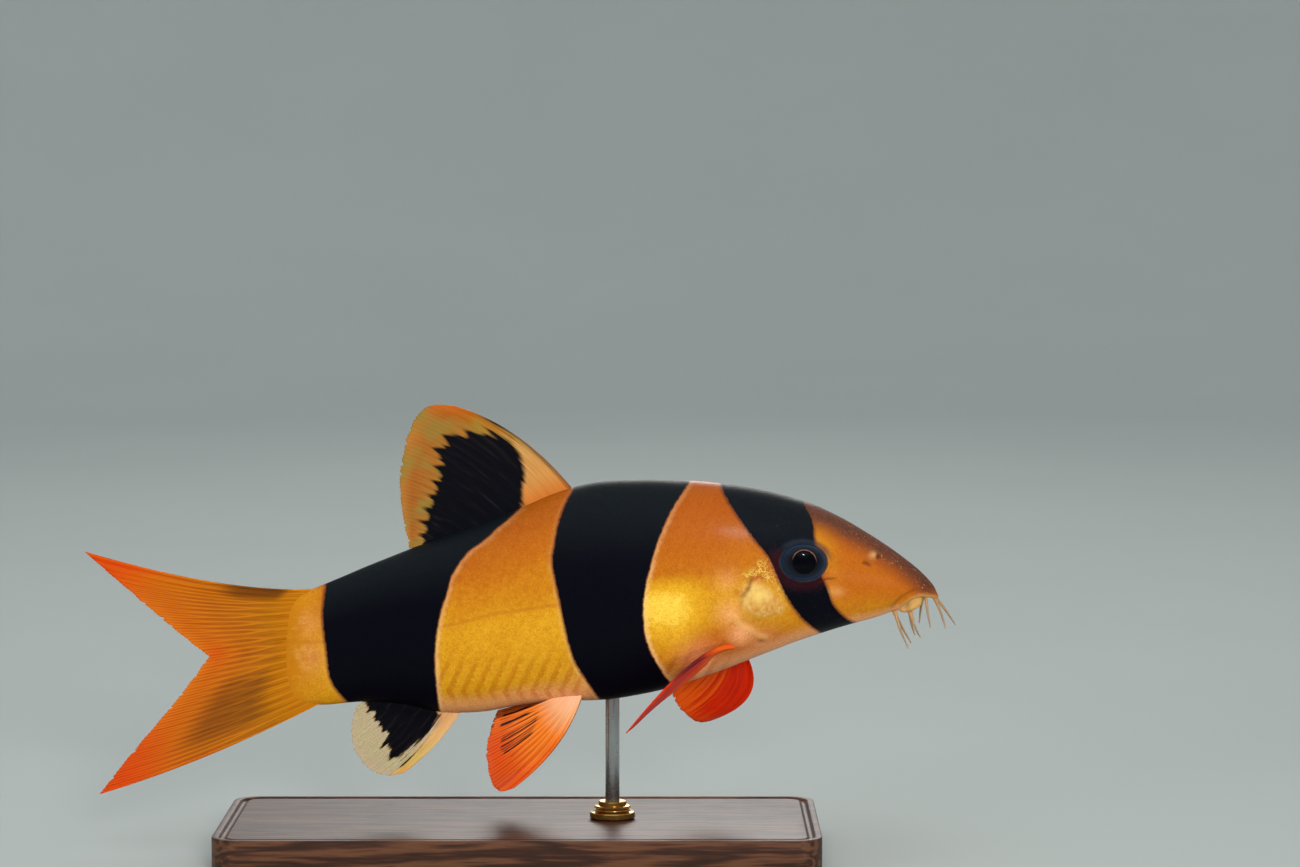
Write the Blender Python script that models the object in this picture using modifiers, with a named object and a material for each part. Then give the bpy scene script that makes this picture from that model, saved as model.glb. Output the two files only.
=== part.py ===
"""A clown loach 120 mm long, swimming nose slightly up above a plain display stand.

The fish heads along +X and its right side faces -Y. The underside of the stand lies on z = 0.
Tables of sizes are in millimetres and are turned into metres where a mesh is made.
"""

import math

import bmesh
import bpy
from mathutils import Matrix, Vector

MM = 0.001

# Driving sizes, in millimetres
GAP = 0.3
ROOT_SUNK = 1.4
BASE_LENGTH, BASE_DEPTH, BASE_HEIGHT = 84.0, 40.0, 5.0
BASE_CORNER, BASE_EDGE = 4.0, 0.7
ROD_X, ROD_RADIUS = 13.0, 1.0
COLLAR_RADIUS, COLLAR_HEIGHT = 3.2, 2.4
MEMBRANE, RAY, LEADING_RAY, ROOT, MARGIN = 0.5, 0.85, 1.1, 0.8, 0.3

# Mesh density
RING_SIDES = 40
BODY_RINGS, HEAD_RINGS, HEAD_FROM = 3, 2, 14

# The turn that keeps a ball's mesh lines off the middle plane, and the length below which edges are closed
OFF_MIDDLE = 0.11
SLIVER = 0.02

# The body from the tail end to the snout. Each row holds the place along X, the back, the belly, half the
# width, the height of the widest level as a share of the depth, and how full the section is above and below it.
BODY = [
    (-33.3, 34.6, 23.2, 0.45, 0.50, 2.0, 2.0),
    (-32.4, 35.6, 22.1, 0.95, 0.50, 2.0, 2.0),
    (-30.8, 36.8, 21.3, 1.60, 0.50, 2.0, 2.0),
    (-27.6, 38.1, 21.1, 2.50, 0.50, 2.0, 2.0),
    (-22.2, 40.4, 21.5, 4.00, 0.50, 1.95, 2.0),
    (-16.8, 42.6, 21.2, 5.30, 0.50, 1.9, 2.0),
    (-11.2, 44.7, 20.1, 6.50, 0.50, 1.9, 2.0),
    (-5.5, 46.7, 20.1, 7.35, 0.49, 1.9, 2.05),
    (0.1, 49.0, 21.1, 8.00, 0.48, 1.9, 2.1),
    (5.7, 51.3, 21.7, 8.50, 0.48, 1.9, 2.1),
    (11.3, 52.6, 21.8, 8.85, 0.47, 1.9, 2.15),
    (16.9, 52.9, 22.6, 9.05, 0.46, 1.9, 2.2),
    (22.5, 52.8, 24.0, 9.10, 0.45, 1.95, 2.25),
    (27.4, 52.5, 25.7, 8.90, 0.44, 2.0, 2.3),
    (31.6, 51.9, 27.3, 8.50, 0.43, 2.0, 2.3),
    (35.2, 51.2, 28.7, 7.90, 0.43, 2.0, 2.3),
    (38.2, 50.4, 29.9, 7.25, 0.43, 2.05, 2.3),
    (41.1, 49.5, 30.9, 6.60, 0.43, 2.1, 2.3),
    (43.9, 48.2, 31.8, 5.95, 0.43, 2.1, 2.3),
    (46.4, 46.9, 32.5, 5.35, 0.43, 2.1, 2.3),
    (48.9, 45.4, 33.2, 4.80, 0.43, 2.1, 2.25),
    (51.2, 43.9, 33.9, 4.30, 0.43, 2.1, 2.2),
    (53.1, 42.6, 34.7, 3.85, 0.42, 2.05, 2.15),
    (54.8, 41.3, 35.3, 3.35, 0.41, 2.0, 2.1),
    (56.2, 40.1, 35.7, 2.80, 0.40, 2.0, 2.05),
    (57.3, 39.0, 35.9, 2.20, 0.38, 2.0, 2.0),
    (58.15, 38.0, 36.05, 1.45, 0.36, 2.0, 2.0),
    (58.65, 37.2, 36.25, 0.75, 0.36, 2.0, 2.0),
    (58.8, 36.6, 36.6, 0.0, 0.50, 2.0, 2.0),
]

# Edges that part the head from the trunk, along the gill opening, and the trunk from the tail stem
GILL_EDGE = [(31.0, 60.0), (31.2, 52.0), (31.9, 46.0), (32.3, 39.4), (30.9, 36.8), (30.8, 33.6), (32.0, 31.4),
             (34.2, 29.4), (35.6, 27.0), (36.5, 18.0)]
STEM_EDGE = [(-22.6, 60.0), (-22.6, 10.0)]
GILL_COVER_LIFT, GILL_COVER_LENGTH = 0.5, 8.5
GILL_COVER_LEVEL, GILL_COVER_HALF_HEIGHT = 34.6, 6.2

EYE_X, EYE_Z, EYE_OUT = 39.75, 41.95, -1.0
EYE_HALF_LENGTH, EYE_HALF_HEIGHT, EYE_HALF_DEPTH = 3.4, 2.65, 1.9
ORBIT_RIM = 0.42
NOSTRILS = [(48.9, 41.1, 0.42), (50.2, 41.9, 0.36)]

# The mouth lies under the snout in a plane that rises forwards, seen here from the side
MOUTH_X, MOUTH_Z, MOUTH_RISE = 54.4, 34.9, math.radians(25)
LIP_REACH, LIP_SPREAD, LIP_RADIUS, LIP_DROP, LIP_SWEEP = 2.2, 1.6, 0.75, 0.3, math.radians(112)
MUZZLE_SIZES = (2.2, 1.75, 1.0)
JAW_LOBE_SIZES, JAW_SPREAD = (1.45, 0.85, 0.72), 0.72

COLOURS = {
    "skin": ((0.62, 0.30, 0.06, 1), 0.35),
    "eye": ((0.01, 0.01, 0.02, 1), 0.08),
    "fin": ((0.75, 0.22, 0.03, 1), 0.40),
    "barbel": ((0.72, 0.45, 0.33, 1), 0.45),
    "wood": ((0.11, 0.055, 0.03, 1), 0.45),
    "steel": ((0.62, 0.62, 0.60, 1), 0.25),
    "brass": ((0.70, 0.48, 0.18, 1), 0.30),
}


def between(a, b, share):
    return tuple(p + (q - p) * share for p, q in zip(a, b))


def smooth_step(low, high, value):
    t = min(1.0, max(0.0, (value - low) / (high - low)))
    return t * t * (3 - 2 * t)


def spline(points, place):
    """A smooth curve through the points, read at a place that counts them from 0."""
    last = len(points) - 1
    i = min(int(place), last - 1)
    t = place - i
    before, start, end, after = (points[min(max(k, 0), last)] for k in (i - 1, i, i + 1, i + 2))
    return tuple(
        0.5 * (2 * b + (c - a) * t + (2 * a - 5 * b + 4 * c - d) * t * t + (3 * b - a - 3 * c + d) * t**3)
        for a, b, c, d in zip(before, start, end, after)
    )


def even_spline(points, share):
    """The same curve, read at a share of its length."""
    steps = 12 * (len(points) - 1)
    line = [Vector(spline(points, k * (len(points) - 1) / steps)) for k in range(steps + 1)]
    lengths = [0.0]
    for a, b in zip(line, line[1:]):
        lengths.append(lengths[-1] + (b - a).length)
    wanted = share * lengths[-1]
    k = max(1, next(i for i, reached in enumerate(lengths) if reached >= wanted - 1e-9 or i == steps))
    return line[k - 1].lerp(line[k], (wanted - lengths[k - 1]) / (lengths[k] - lengths[k - 1]))


def station_at(x):
    """The body's section at a place along X, found by halving."""
    low, high = 0.0, len(BODY) - 1.0
    for _ in range(40):
        middle = (low + high) / 2
        low, high = (middle, high) if spline(BODY, middle)[0] < x else (low, middle)
    return spline(BODY, low)


def section_point(station, angle):
    """A point of a section, with angle 0 on the back and a half turn on the belly."""
    x, top, bottom, half, level, above, below = station
    middle = bottom + (top - bottom) * level
    s, c = math.sin(angle), math.cos(angle)
    fullness = above if c >= 0 else below
    reach = (top - middle) if c >= 0 else (middle - bottom)
    y = half * math.copysign(abs(s) ** (2 / fullness), s)
    return Vector((x, y, middle + reach * math.copysign(abs(c) ** (2 / fullness), c)))


def flank(x, z, side):
    """The point of the body's surface at x and z, on the left (1) or the right (-1)."""
    _, top, bottom, half, level, above, below = station_at(x)
    middle = bottom + (top - bottom) * level
    up = z >= middle
    reach, fullness = (top - middle, above) if up else (middle - bottom, below)
    inside = max(0.0, 1 - min(1.0, abs(z - middle) / reach) ** fullness)
    return Vector((x, side * half * inside ** (1 / fullness), z))


def flank_normal(x, z, side, step=0.4):
    along = flank(x + step, z, side) - flank(x - step, z, side)
    up = flank(x, z + step, side) - flank(x, z - step, side)
    normal = along.cross(up).normalized()
    return normal if normal.y * side > 0 else -normal


def gill_cover_lift(point):
    """How far the skin stands out over the gill cover, which rises towards its free rear edge."""
    rear = 1 - smooth_step(0.0, GILL_COVER_LENGTH, point.x - GILL_EDGE[4][0])
    height = abs(point.z - GILL_COVER_LEVEL) / GILL_COVER_HALF_HEIGHT
    return GILL_COVER_LIFT * rear * (1 - smooth_step(0.7, 1.1, height))


def object_of(name, mesh, finish="skin"):
    obj = bpy.data.objects.new(name, mesh)
    bpy.context.scene.collection.objects.link(obj)
    mesh.materials.clear()
    mesh.materials.append(material(finish))
    return obj


def material(name):
    made = bpy.data.materials.get(name)
    if made is None:
        made = bpy.data.materials.new(name)
        made.use_nodes = True
        shader = made.node_tree.nodes["Principled BSDF"]
        colour, roughness = COLOURS[name]
        shader.inputs["Base Color"].default_value = colour
        shader.inputs["Roughness"].default_value = roughness
        shader.inputs["Metallic"].default_value = 1.0 if name in ("steel", "brass") else 0.0
    return made


def finished(name, bm, finish="skin"):
    """A bmesh in millimetres, made an object in metres."""
    bmesh.ops.recalc_face_normals(bm, faces=bm.faces)
    bmesh.ops.scale(bm, vec=(MM, MM, MM), verts=bm.verts)
    mesh = bpy.data.meshes.new(name)
    bm.to_mesh(mesh)
    bm.free()
    return object_of(name, mesh, finish)


def boolean(obj, operation, others):
    """Joins or cuts an object with others, which are then gone, and applies the result."""
    group = bpy.data.collections.new("others")
    bpy.context.scene.collection.children.link(group)
    for other in others:
        group.objects.link(other)
    change = obj.modifiers.new("change", "BOOLEAN")
    change.operation = operation
    change.solver = "EXACT"
    change.operand_type = "COLLECTION"
    change.collection = group
    apply_modifiers(obj)
    for other in others:
        bpy.data.objects.remove(other)
    bpy.data.collections.remove(group)
    return obj


def apply_modifiers(obj):
    bpy.context.view_layer.update()
    graph = bpy.context.evaluated_depsgraph_get()
    mesh = bpy.data.meshes.new_from_object(obj.evaluated_get(graph))
    obj.modifiers.clear()
    obj.data = mesh


def keep_largest(obj):
    """Leaves only the largest closed surface of a node, without the slivers that cuts make."""
    bm = bmesh.new()
    bm.from_mesh(obj.data)
    bmesh.ops.triangulate(bm, faces=bm.faces)
    bmesh.ops.remove_doubles(bm, verts=bm.verts, dist=SLIVER * MM)
    bmesh.ops.dissolve_degenerate(bm, edges=bm.edges, dist=SLIVER * MM)
    bmesh.ops.triangulate(bm, faces=bm.faces)
    unseen, pieces = set(bm.faces), []
    while unseen:
        piece, edge = [], [unseen.pop()]
        while edge:
            face = edge.pop()
            piece.append(face)
            near = {other for side in face.edges for other in side.link_faces} & unseen
            unseen -= near
            edge.extend(near)
        pieces.append(piece)
    pieces.sort(key=lambda piece: sum(face.calc_area() for face in piece))
    bmesh.ops.delete(bm, geom=[face for piece in pieces[:-1] for face in piece], context="FACES")
    bm.to_mesh(obj.data)
    bm.free()
    return obj


def copy_of(obj):
    copied = obj.copy()
    copied.data = obj.data.copy()
    bpy.context.scene.collection.objects.link(copied)
    return copied


def body(name, grow=0.0, gill_cover=False):
    """The whole flesh of the fish in one skin, as rings from the tail end to the snout."""
    bm = bmesh.new()
    places = [k / BODY_RINGS for k in range(HEAD_FROM * BODY_RINGS)]
    places += [HEAD_FROM + k / HEAD_RINGS for k in range((len(BODY) - 1 - HEAD_FROM) * HEAD_RINGS)]
    rings = []
    for place in places:
        station = spline(BODY, place)
        angles = [math.tau * i / RING_SIDES for i in range(RING_SIDES)]
        rings.append([bm.verts.new(section_point(station, angle)) for angle in angles])
    for ring in rings:
        for a, b in zip(ring, ring[1:] + ring[:1]):
            bm.edges.new((a, b))
    for a, b in zip(rings, rings[1:]):
        for i in range(RING_SIDES):
            j = (i + 1) % RING_SIDES
            bm.faces.new((a[i], a[j], b[j], b[i]))
    bm.faces.new(rings[0])
    tip = bm.verts.new(Vector((BODY[-1][0], 0, BODY[-1][1])))
    for i in range(RING_SIDES):
        bm.faces.new((rings[-1][i], rings[-1][(i + 1) % RING_SIDES], tip))
    bmesh.ops.recalc_face_normals(bm, faces=bm.faces)
    bm.normal_update()
    moves = [(v, v.normal * (grow + (gill_cover_lift(v.co) if gill_cover else 0.0))) for v in bm.verts]
    for v, move in moves:
        v.co += move
    return finished(name, bm)


def region(name, front, rear):
    """The space between two edges drawn in the side view, right through the fish."""
    bm = bmesh.new()
    outline = [bm.verts.new((x, -30.0, z)) for x, z in front + rear[::-1]]
    face = bm.faces.new(outline)
    grown = bmesh.ops.extrude_face_region(bm, geom=[face])["geom"]
    bmesh.ops.translate(bm, vec=(0, 60.0, 0), verts=[v for v in grown if isinstance(v, bmesh.types.BMVert)])
    return finished(name, bm)


def shifted(edge, dx):
    return [(x + dx, z) for x, z in edge]


def smooth_edge(edge, per_span=4):
    """A drawn edge with its corners rounded."""
    count = (len(edge) - 1) * per_span
    return [spline(edge, k / per_span) for k in range(count + 1)]


def ball(name, centre, sizes, grow=0.0, turn=None, sides=20, rows=10, finish="skin"):
    """A stretched ball whose mesh lines stay off the fish's middle plane, where cuts would be ill defined."""
    bm = bmesh.new()
    bmesh.ops.create_uvsphere(bm, u_segments=sides, v_segments=rows, radius=1.0)
    bmesh.ops.rotate(bm, cent=(0, 0, 0), matrix=Matrix.Rotation(OFF_MIDDLE, 3, "Z"), verts=bm.verts)
    bmesh.ops.scale(bm, vec=[size + grow for size in sizes], verts=bm.verts)
    if turn is not None:
        bmesh.ops.transform(bm, matrix=turn.to_4x4(), verts=bm.verts)
    bmesh.ops.translate(bm, vec=centre, verts=bm.verts)
    return finished(name, bm, finish)


def tube(name, line, radii, sides=10, finish="skin"):
    """A tapered tube along a line of points, made as a curve and then a mesh with welded caps."""
    data = bpy.data.curves.new(name, "CURVE")
    data.dimensions = "3D"
    data.bevel_depth = 1.0 * MM
    data.bevel_resolution = (sides - 4) // 2
    data.use_fill_caps = True
    path = data.splines.new("POLY")
    path.points.add(len(line) - 1)
    for point, place, radius in zip(path.points, line, radii):
        point.co = (*(Vector(place) * MM), 1.0)
        point.radius = radius
    guide = bpy.data.objects.new(name, data)
    bpy.context.scene.collection.objects.link(guide)
    bpy.context.view_layer.update()
    graph = bpy.context.evaluated_depsgraph_get()
    mesh = bpy.data.meshes.new_from_object(guide.evaluated_get(graph))
    bpy.data.objects.remove(guide)
    bm = bmesh.new()
    bm.from_mesh(mesh)
    bmesh.ops.remove_doubles(bm, verts=bm.verts, dist=0.005 * MM)
    bmesh.ops.recalc_face_normals(bm, faces=bm.faces)
    bm.to_mesh(mesh)
    bm.free()
    mesh.name = name
    return object_of(name, mesh, finish)


def mouth_point(ahead, across, below):
    """A place at the mouth, measured along and below its sloping plane."""
    forward = Vector((math.cos(MOUTH_RISE), 0, math.sin(MOUTH_RISE)))
    up = Vector((-math.sin(MOUTH_RISE), 0, math.cos(MOUTH_RISE)))
    return Vector((MOUTH_X, across, MOUTH_Z)) + forward * ahead - up * below


def mouth_ball(name, place, sizes, grow=0.0):
    tilt = Matrix.Rotation(-MOUTH_RISE, 3, "Y")
    return ball(name, mouth_point(*place), sizes, grow, tilt, sides=14, rows=8)


def lips(grow=0.0):
    """The muzzle round the mouth, the thick upper lip, open to the rear, and the two lobes of the lower lip."""
    count = 12
    line, radii = [], []
    for k in range(count):
        angle = LIP_SWEEP * (2 * k / (count - 1) - 1)
        line.append(mouth_point(LIP_REACH * math.cos(angle), LIP_SPREAD * math.sin(angle), LIP_DROP))
        radii.append(LIP_RADIUS * (0.72 + 0.28 * math.sin(math.pi * k / (count - 1))) + grow)
    made = [tube("upper_lip", line, radii, sides=8), mouth_ball("muzzle", (0.1, 0, 0), MUZZLE_SIZES, grow)]
    for side in (-1, 1):
        place = (-0.25 + 0.06 * side, side * JAW_SPREAD, 0.95 - 0.03 * side)
        made.append(mouth_ball("jaw_lobe", place, JAW_LOBE_SIZES, grow))
    return made


def eye_turn(side):
    """Turns a ball's Y axis to look out of the head, a little forwards and up."""
    outward = Vector((0.13, side, 0.12)).normalized()
    forward = Vector((1, -side * 0.13, 0)).normalized()
    return Matrix((forward, outward, forward.cross(outward))).transposed()


def eye_centre(side):
    return flank(EYE_X, EYE_Z, side) + flank_normal(EYE_X, EYE_Z, side) * EYE_OUT


def eye(name, side, grow=0.0, finish="skin"):
    sizes = (EYE_HALF_LENGTH, EYE_HALF_DEPTH, EYE_HALF_HEIGHT)
    return ball(name, eye_centre(side), sizes, grow, eye_turn(side), finish=finish)


def orbit_rim(side, grow=0.0):
    """The ring of skin that stands up round the eye."""
    turn = eye_turn(side)
    centre = eye_centre(side) + turn @ Vector((0, EYE_HALF_DEPTH * 0.42, 0))
    line = []
    for k in range(25):
        angle = math.tau * k / 24
        across = Vector((EYE_HALF_LENGTH * math.cos(angle), 0, EYE_HALF_HEIGHT * math.sin(angle)))
        line.append(centre + turn @ across)
    bm = bmesh.new()
    outward = turn @ Vector((0, 1, 0))
    rings = []
    for point in line[:-1]:
        away = (point - centre).normalized()
        ring = []
        for i in range(6):
            angle = math.tau * i / 6
            reach = away * math.cos(angle) + outward * math.sin(angle)
            ring.append(bm.verts.new(point + reach * (ORBIT_RIM + grow)))
        rings.append(ring)
    for a, b in zip(rings, rings[1:] + rings[:1]):
        for i in range(6):
            bm.faces.new((a[i], a[(i + 1) % 6], b[(i + 1) % 6], b[i]))
    return finished("orbit_rim", bm)


def nostril_tools(side):
    """The raised rims of the two nostrils of one side, and the bores down inside them."""
    rims, bores = [], []
    for x, z, radius in NOSTRILS:
        point, normal = flank(x, z, side), flank_normal(x, z, side)
        rims.append(ball("nostril_rim", point - normal * 0.1, (radius + 0.32,) * 3, sides=12, rows=8))
        bm = bmesh.new()
        bmesh.ops.create_cone(bm, cap_ends=True, segments=9, radius1=radius, radius2=radius, depth=1.4)
        bmesh.ops.transform(bm, matrix=normal.to_track_quat("Z", "Y").to_matrix().to_4x4(), verts=bm.verts)
        bmesh.ops.translate(bm, vec=point + normal * 0.45, verts=bm.verts)
        bores.append(finished("nostril_bore", bm))
    return rims, bores


def barbel_line(start, middle, end, count=7):
    return [Vector(spline([start, middle, end], 2 * k / (count - 1))) for k in range(count)]


# Barbels: name, root, middle and tip on the right side, and how far the left one's tip is swung along X
BARBELS = [
    ("barbel_snout_inner", (58.0, 0.65, 36.9), (59.1, 1.3, 34.4), (59.8, 1.9, 32.1), 1.7),
    ("barbel_snout_outer", (57.0, 1.45, 36.9), (57.2, 2.4, 34.6), (57.6, 2.9, 32.3), -1.2),
    ("barbel_mouth_corner", (52.7, 1.35, 34.4), (53.4, 2.6, 32.0), (54.5, 3.4, 29.4), 0.8),
    ("barbel_chin", (54.9, 0.85, 34.3), (55.5, 1.2, 32.4), (56.3, 1.5, 30.7), -0.6),
]
BARBEL_ROOT_RADIUS, BARBEL_TIP_RADIUS = 0.36, 0.16


def barbel(name, side, root, middle, tip, swing):
    swing = swing if side > 0 else 0.0
    points = []
    for share, (x, y, z) in zip((0.0, 0.5, 1.0), (root, middle, tip)):
        points.append((x + swing * share, side * y, z))
    line = barbel_line(*points)
    taper = [BARBEL_ROOT_RADIUS + (BARBEL_TIP_RADIUS - BARBEL_ROOT_RADIUS) * k / 6 for k in range(7)]
    return tube(name, line, taper, sides=8, finish="barbel")


def fin(name, base, margin, rays, rows, lead_bow, rear_bow, wave=0.0):
    """A fin as one sheet with its rays raised in its own surface.

    Rays run from the base curve to the margin curve. The first is the leading edge. A bow is how far
    the middle of the first or the last ray stands off the straight line.
    """
    columns = 2 * rays - 1
    bm = bmesh.new()
    bmesh.ops.create_grid(bm, x_segments=columns - 1, y_segments=rows - 1, size=0.5)
    bm.verts.ensure_lookup_table()
    thickness = {}
    for v in bm.verts:
        u, w = v.co.x + 0.5, v.co.y + 0.5
        column = round(u * (columns - 1))
        bow = Vector(lead_bow).lerp(Vector(rear_bow), u)
        point = even_spline(base, u).lerp(even_spline(margin, u), w) + bow * (4 * w * (1 - w))
        point += Vector((0, wave * math.sin(math.tau * 1.5 * u) * w, 0))
        v.co = point
        on_ray = column % 2 == 0
        full = LEADING_RAY if column == 0 else (RAY if on_ray else MEMBRANE)
        from_root = ROOT + (full - ROOT) * smooth_step(0.1, 0.35, w)
        taper = smooth_step(0.35, 1.0, w)
        thickness[v.index] = from_root + (min(full, MARGIN + 0.2 * on_ray) - from_root) * taper
    bmesh.ops.triangulate(bm, faces=bm.faces)
    most = max(thickness.values())
    sheet = finished(name, bm, "fin")
    share = sheet.vertex_groups.new(name="ray_height")
    for index, value in thickness.items():
        share.add([index], value / most, "REPLACE")
    wall = sheet.modifiers.new("wall", "SOLIDIFY")
    wall.thickness = most * MM
    wall.offset = 0.0
    wall.vertex_group = share.name
    wall.thickness_vertex_group = 0.0
    apply_modifiers(sheet)
    sheet.vertex_groups.clear()
    return sheet


def back_line(x):
    return (x, 0.0, station_at(x)[1] - ROOT_SUNK)


def belly_line(x):
    return (x, 0.0, station_at(x)[2] + ROOT_SUNK)


def dorsal_fin():
    base = [back_line(x) for x in (8.2, 1.4, -5.4, -12.6)]
    margin = [(-9.2, 0, 63.3), (-12.6, 0, 63.3), (-14.9, 0, 61.2), (-16.2, 0, 57.4), (-16.9, 0, 53.2), (-16.5, 0, 48.0),
              (-15.6, 0, 43.2)]
    return fin("dorsal_fin", base, margin, 12, 9, (0.5, 0, 1.8), (0, 0, 0.3), wave=0.25)


def anal_fin():
    base = [belly_line(x) for x in (-7.6, -12.0, -16.3, -20.5)]
    margin = [(-16.4, 0, 11.4), (-19.2, 0, 11.0), (-21.9, 0, 12.4), (-23.5, 0, 15.0), (-23.9, 0, 17.8), (-23.3, 0, 20.6)]
    return fin("anal_fin", base, margin, 8, 7, (0.5, 0, -0.5), (0, 0, 0), wave=0.2)


def caudal_fin():
    upper = fin(
        "caudal_fin_upper",
        [(-27.2, 0, 37.6), (-31.2, 0, 34.8), (-31.4, 0, 32.0), (-31.3, 0, 29.0)],
        [(-61.3, 0, 42.8), (-55.9, 0, 38.0), (-48.9, 0, 31.9), (-44.0, 0, 28.1)],
        10, 10, (2.2, 0, -1.9), (0, 0, 0),
    )
    lower = fin(
        "caudal_fin_lower",
        [(-27.0, 0, 21.9), (-31.0, 0, 23.4), (-31.2, 0, 26.0), (-31.3, 0, 28.5)],
        [(-59.5, 0, 8.3), (-55.0, 0, 14.0), (-48.6, 0, 21.6), (-44.0, 0, 27.6)],
        10, 10, (-0.4, 0, -1.1), (0, 0, 0),
    )
    return [upper, lower]


def pelvic_fin(name, side, spread):
    """A belly fin, which fans back and down from a short root beside the midline."""
    y = side * 2.6
    base = [(8.9, y + side * 0.5, 23.2), (7.6, y + side * 0.2, 23.1), (6.2, y - side * 0.2, 23.0)]
    margin = [(-0.6, y + side * spread, 10.4), (-2.9, y + side * spread, 9.9), (-4.2, y + side * spread * 0.95, 12.4),
              (-4.5, y + side * spread * 0.75, 16.4), (-3.4, y + side * spread * 0.4, 19.6)]
    return fin(name, base, margin, 8, 7, (1.3, 0, -0.5), (0, 0, -0.2), wave=0.2)


def pectoral_fin_right():
    """The near breast fin, held out flat and seen almost edge on."""
    root = flank(29.8, 29.9, -1)
    base = [root + Vector(move) for move in ((0.9, 1.1, 0.2), (-0.3, 1.3, 0.0), (-1.6, 1.5, -0.5))]
    margin = [(15.0, -15.6, 19.2), (16.3, -13.4, 20.0), (18.1, -11.0, 21.4), (20.2, -8.8, 22.9), (22.4, -7.0, 24.3)]
    return fin("pectoral_fin_right", base, margin, 8, 8, (1.2, -2.2, 3.6), (0, 0.1, -0.1))


def pectoral_fin_left():
    """The far breast fin, spread down and forwards like a fan."""
    root = flank(29.8, 29.9, 1)
    base = [root + Vector(move) for move in ((1.0, -1.0, -0.3), (-0.3, -1.2, -0.4), (-1.5, -1.4, -0.8))]
    margin = [(26.9, 13.6, 16.9), (25.2, 12.6, 16.9), (23.4, 11.4, 18.2), (22.0, 10.2, 20.0), (21.2, 9.2, 22.2)]
    return fin("pectoral_fin_left", base, margin, 8, 8, (4.0, 1.2, -1.4), (-0.3, 0, 0.3))


def stand(skin_cutter):
    """A flat base, a turned collar, and one rod whose top is cut to the belly."""
    bm = bmesh.new()
    bmesh.ops.create_cube(bm, size=1.0)
    bmesh.ops.scale(bm, vec=(BASE_LENGTH, BASE_DEPTH, BASE_HEIGHT), verts=bm.verts)
    bmesh.ops.translate(bm, vec=(0, 0, BASE_HEIGHT / 2), verts=bm.verts)
    upright = [e for e in bm.edges if abs(e.verts[0].co.z - e.verts[1].co.z) > 1]
    bmesh.ops.bevel(bm, geom=upright, offset=BASE_CORNER, segments=6, profile=0.5, affect="EDGES")
    rim = [e for e in bm.edges if all(v.co.z > BASE_HEIGHT - 0.1 for v in e.verts)]
    bmesh.ops.bevel(bm, geom=rim, offset=BASE_EDGE, segments=3, profile=0.5, affect="EDGES")
    finished("stand_base", bm, "wood")

    bore = ROD_RADIUS + GAP
    profile = [(COLLAR_RADIUS, 0.0), (COLLAR_RADIUS, 0.9), (COLLAR_RADIUS * 0.72, 1.5),
               (COLLAR_RADIUS * 0.62, COLLAR_HEIGHT), (bore, COLLAR_HEIGHT), (bore, 0.0)]
    bm = bmesh.new()
    ring = [bm.verts.new((ROD_X + r, 0, BASE_HEIGHT + GAP + z)) for r, z in profile]
    edges = [bm.edges.new(pair) for pair in zip(ring, ring[1:] + ring[:1])]
    bmesh.ops.spin(bm, geom=ring + edges, cent=(ROD_X, 0, 0), axis=(0, 0, 1), angle=math.tau, steps=28, use_merge=True)
    finished("stand_collar", bm, "brass")

    bottom, top = BASE_HEIGHT + GAP, station_at(ROD_X)[2] + 2.0
    bm = bmesh.new()
    bmesh.ops.create_cone(bm, cap_ends=True, segments=20, radius1=ROD_RADIUS, radius2=ROD_RADIUS, depth=top - bottom)
    bmesh.ops.translate(bm, vec=(ROD_X, 0, (top + bottom) / 2), verts=bm.verts)
    rod = finished("stand_rod", bm, "steel")
    boolean(rod, "DIFFERENCE", [copy_of(skin_cutter)])
    keep_largest(rod)


def flesh(skin_cutter):
    """The head, the trunk and the tail stem, parted by thin cuts."""
    gill_edge = smooth_edge(GILL_EDGE)
    head = body("head", gill_cover=True)
    raised, sunk = [], []
    for side in (-1, 1):
        rims, bores = nostril_tools(side)
        raised += rims + [orbit_rim(side)]
        sunk += bores + [eye("socket", side, GAP)]
    boolean(head, "UNION", raised + lips())
    mouth = mouth_ball("mouth", (1.3, 0, 1.0), (0.4, 0.9, 0.9))
    boolean(head, "DIFFERENCE", sunk + [mouth])
    boolean(head, "INTERSECT", [region("front_part", gill_edge, [(80.0, 60.0), (80.0, 18.0)])])

    trunk = body("trunk")
    boolean(trunk, "INTERSECT", [region("middle_part", shifted(STEM_EDGE, GAP), shifted(gill_edge, -GAP))])
    stem = body("tail_stem")
    boolean(stem, "INTERSECT", [region("rear_part", [(-60.0, 60.0), (-60.0, 10.0)], STEM_EDGE)])
    for piece in (head, trunk, stem):
        keep_largest(piece)
    return [head, trunk, stem]


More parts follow.
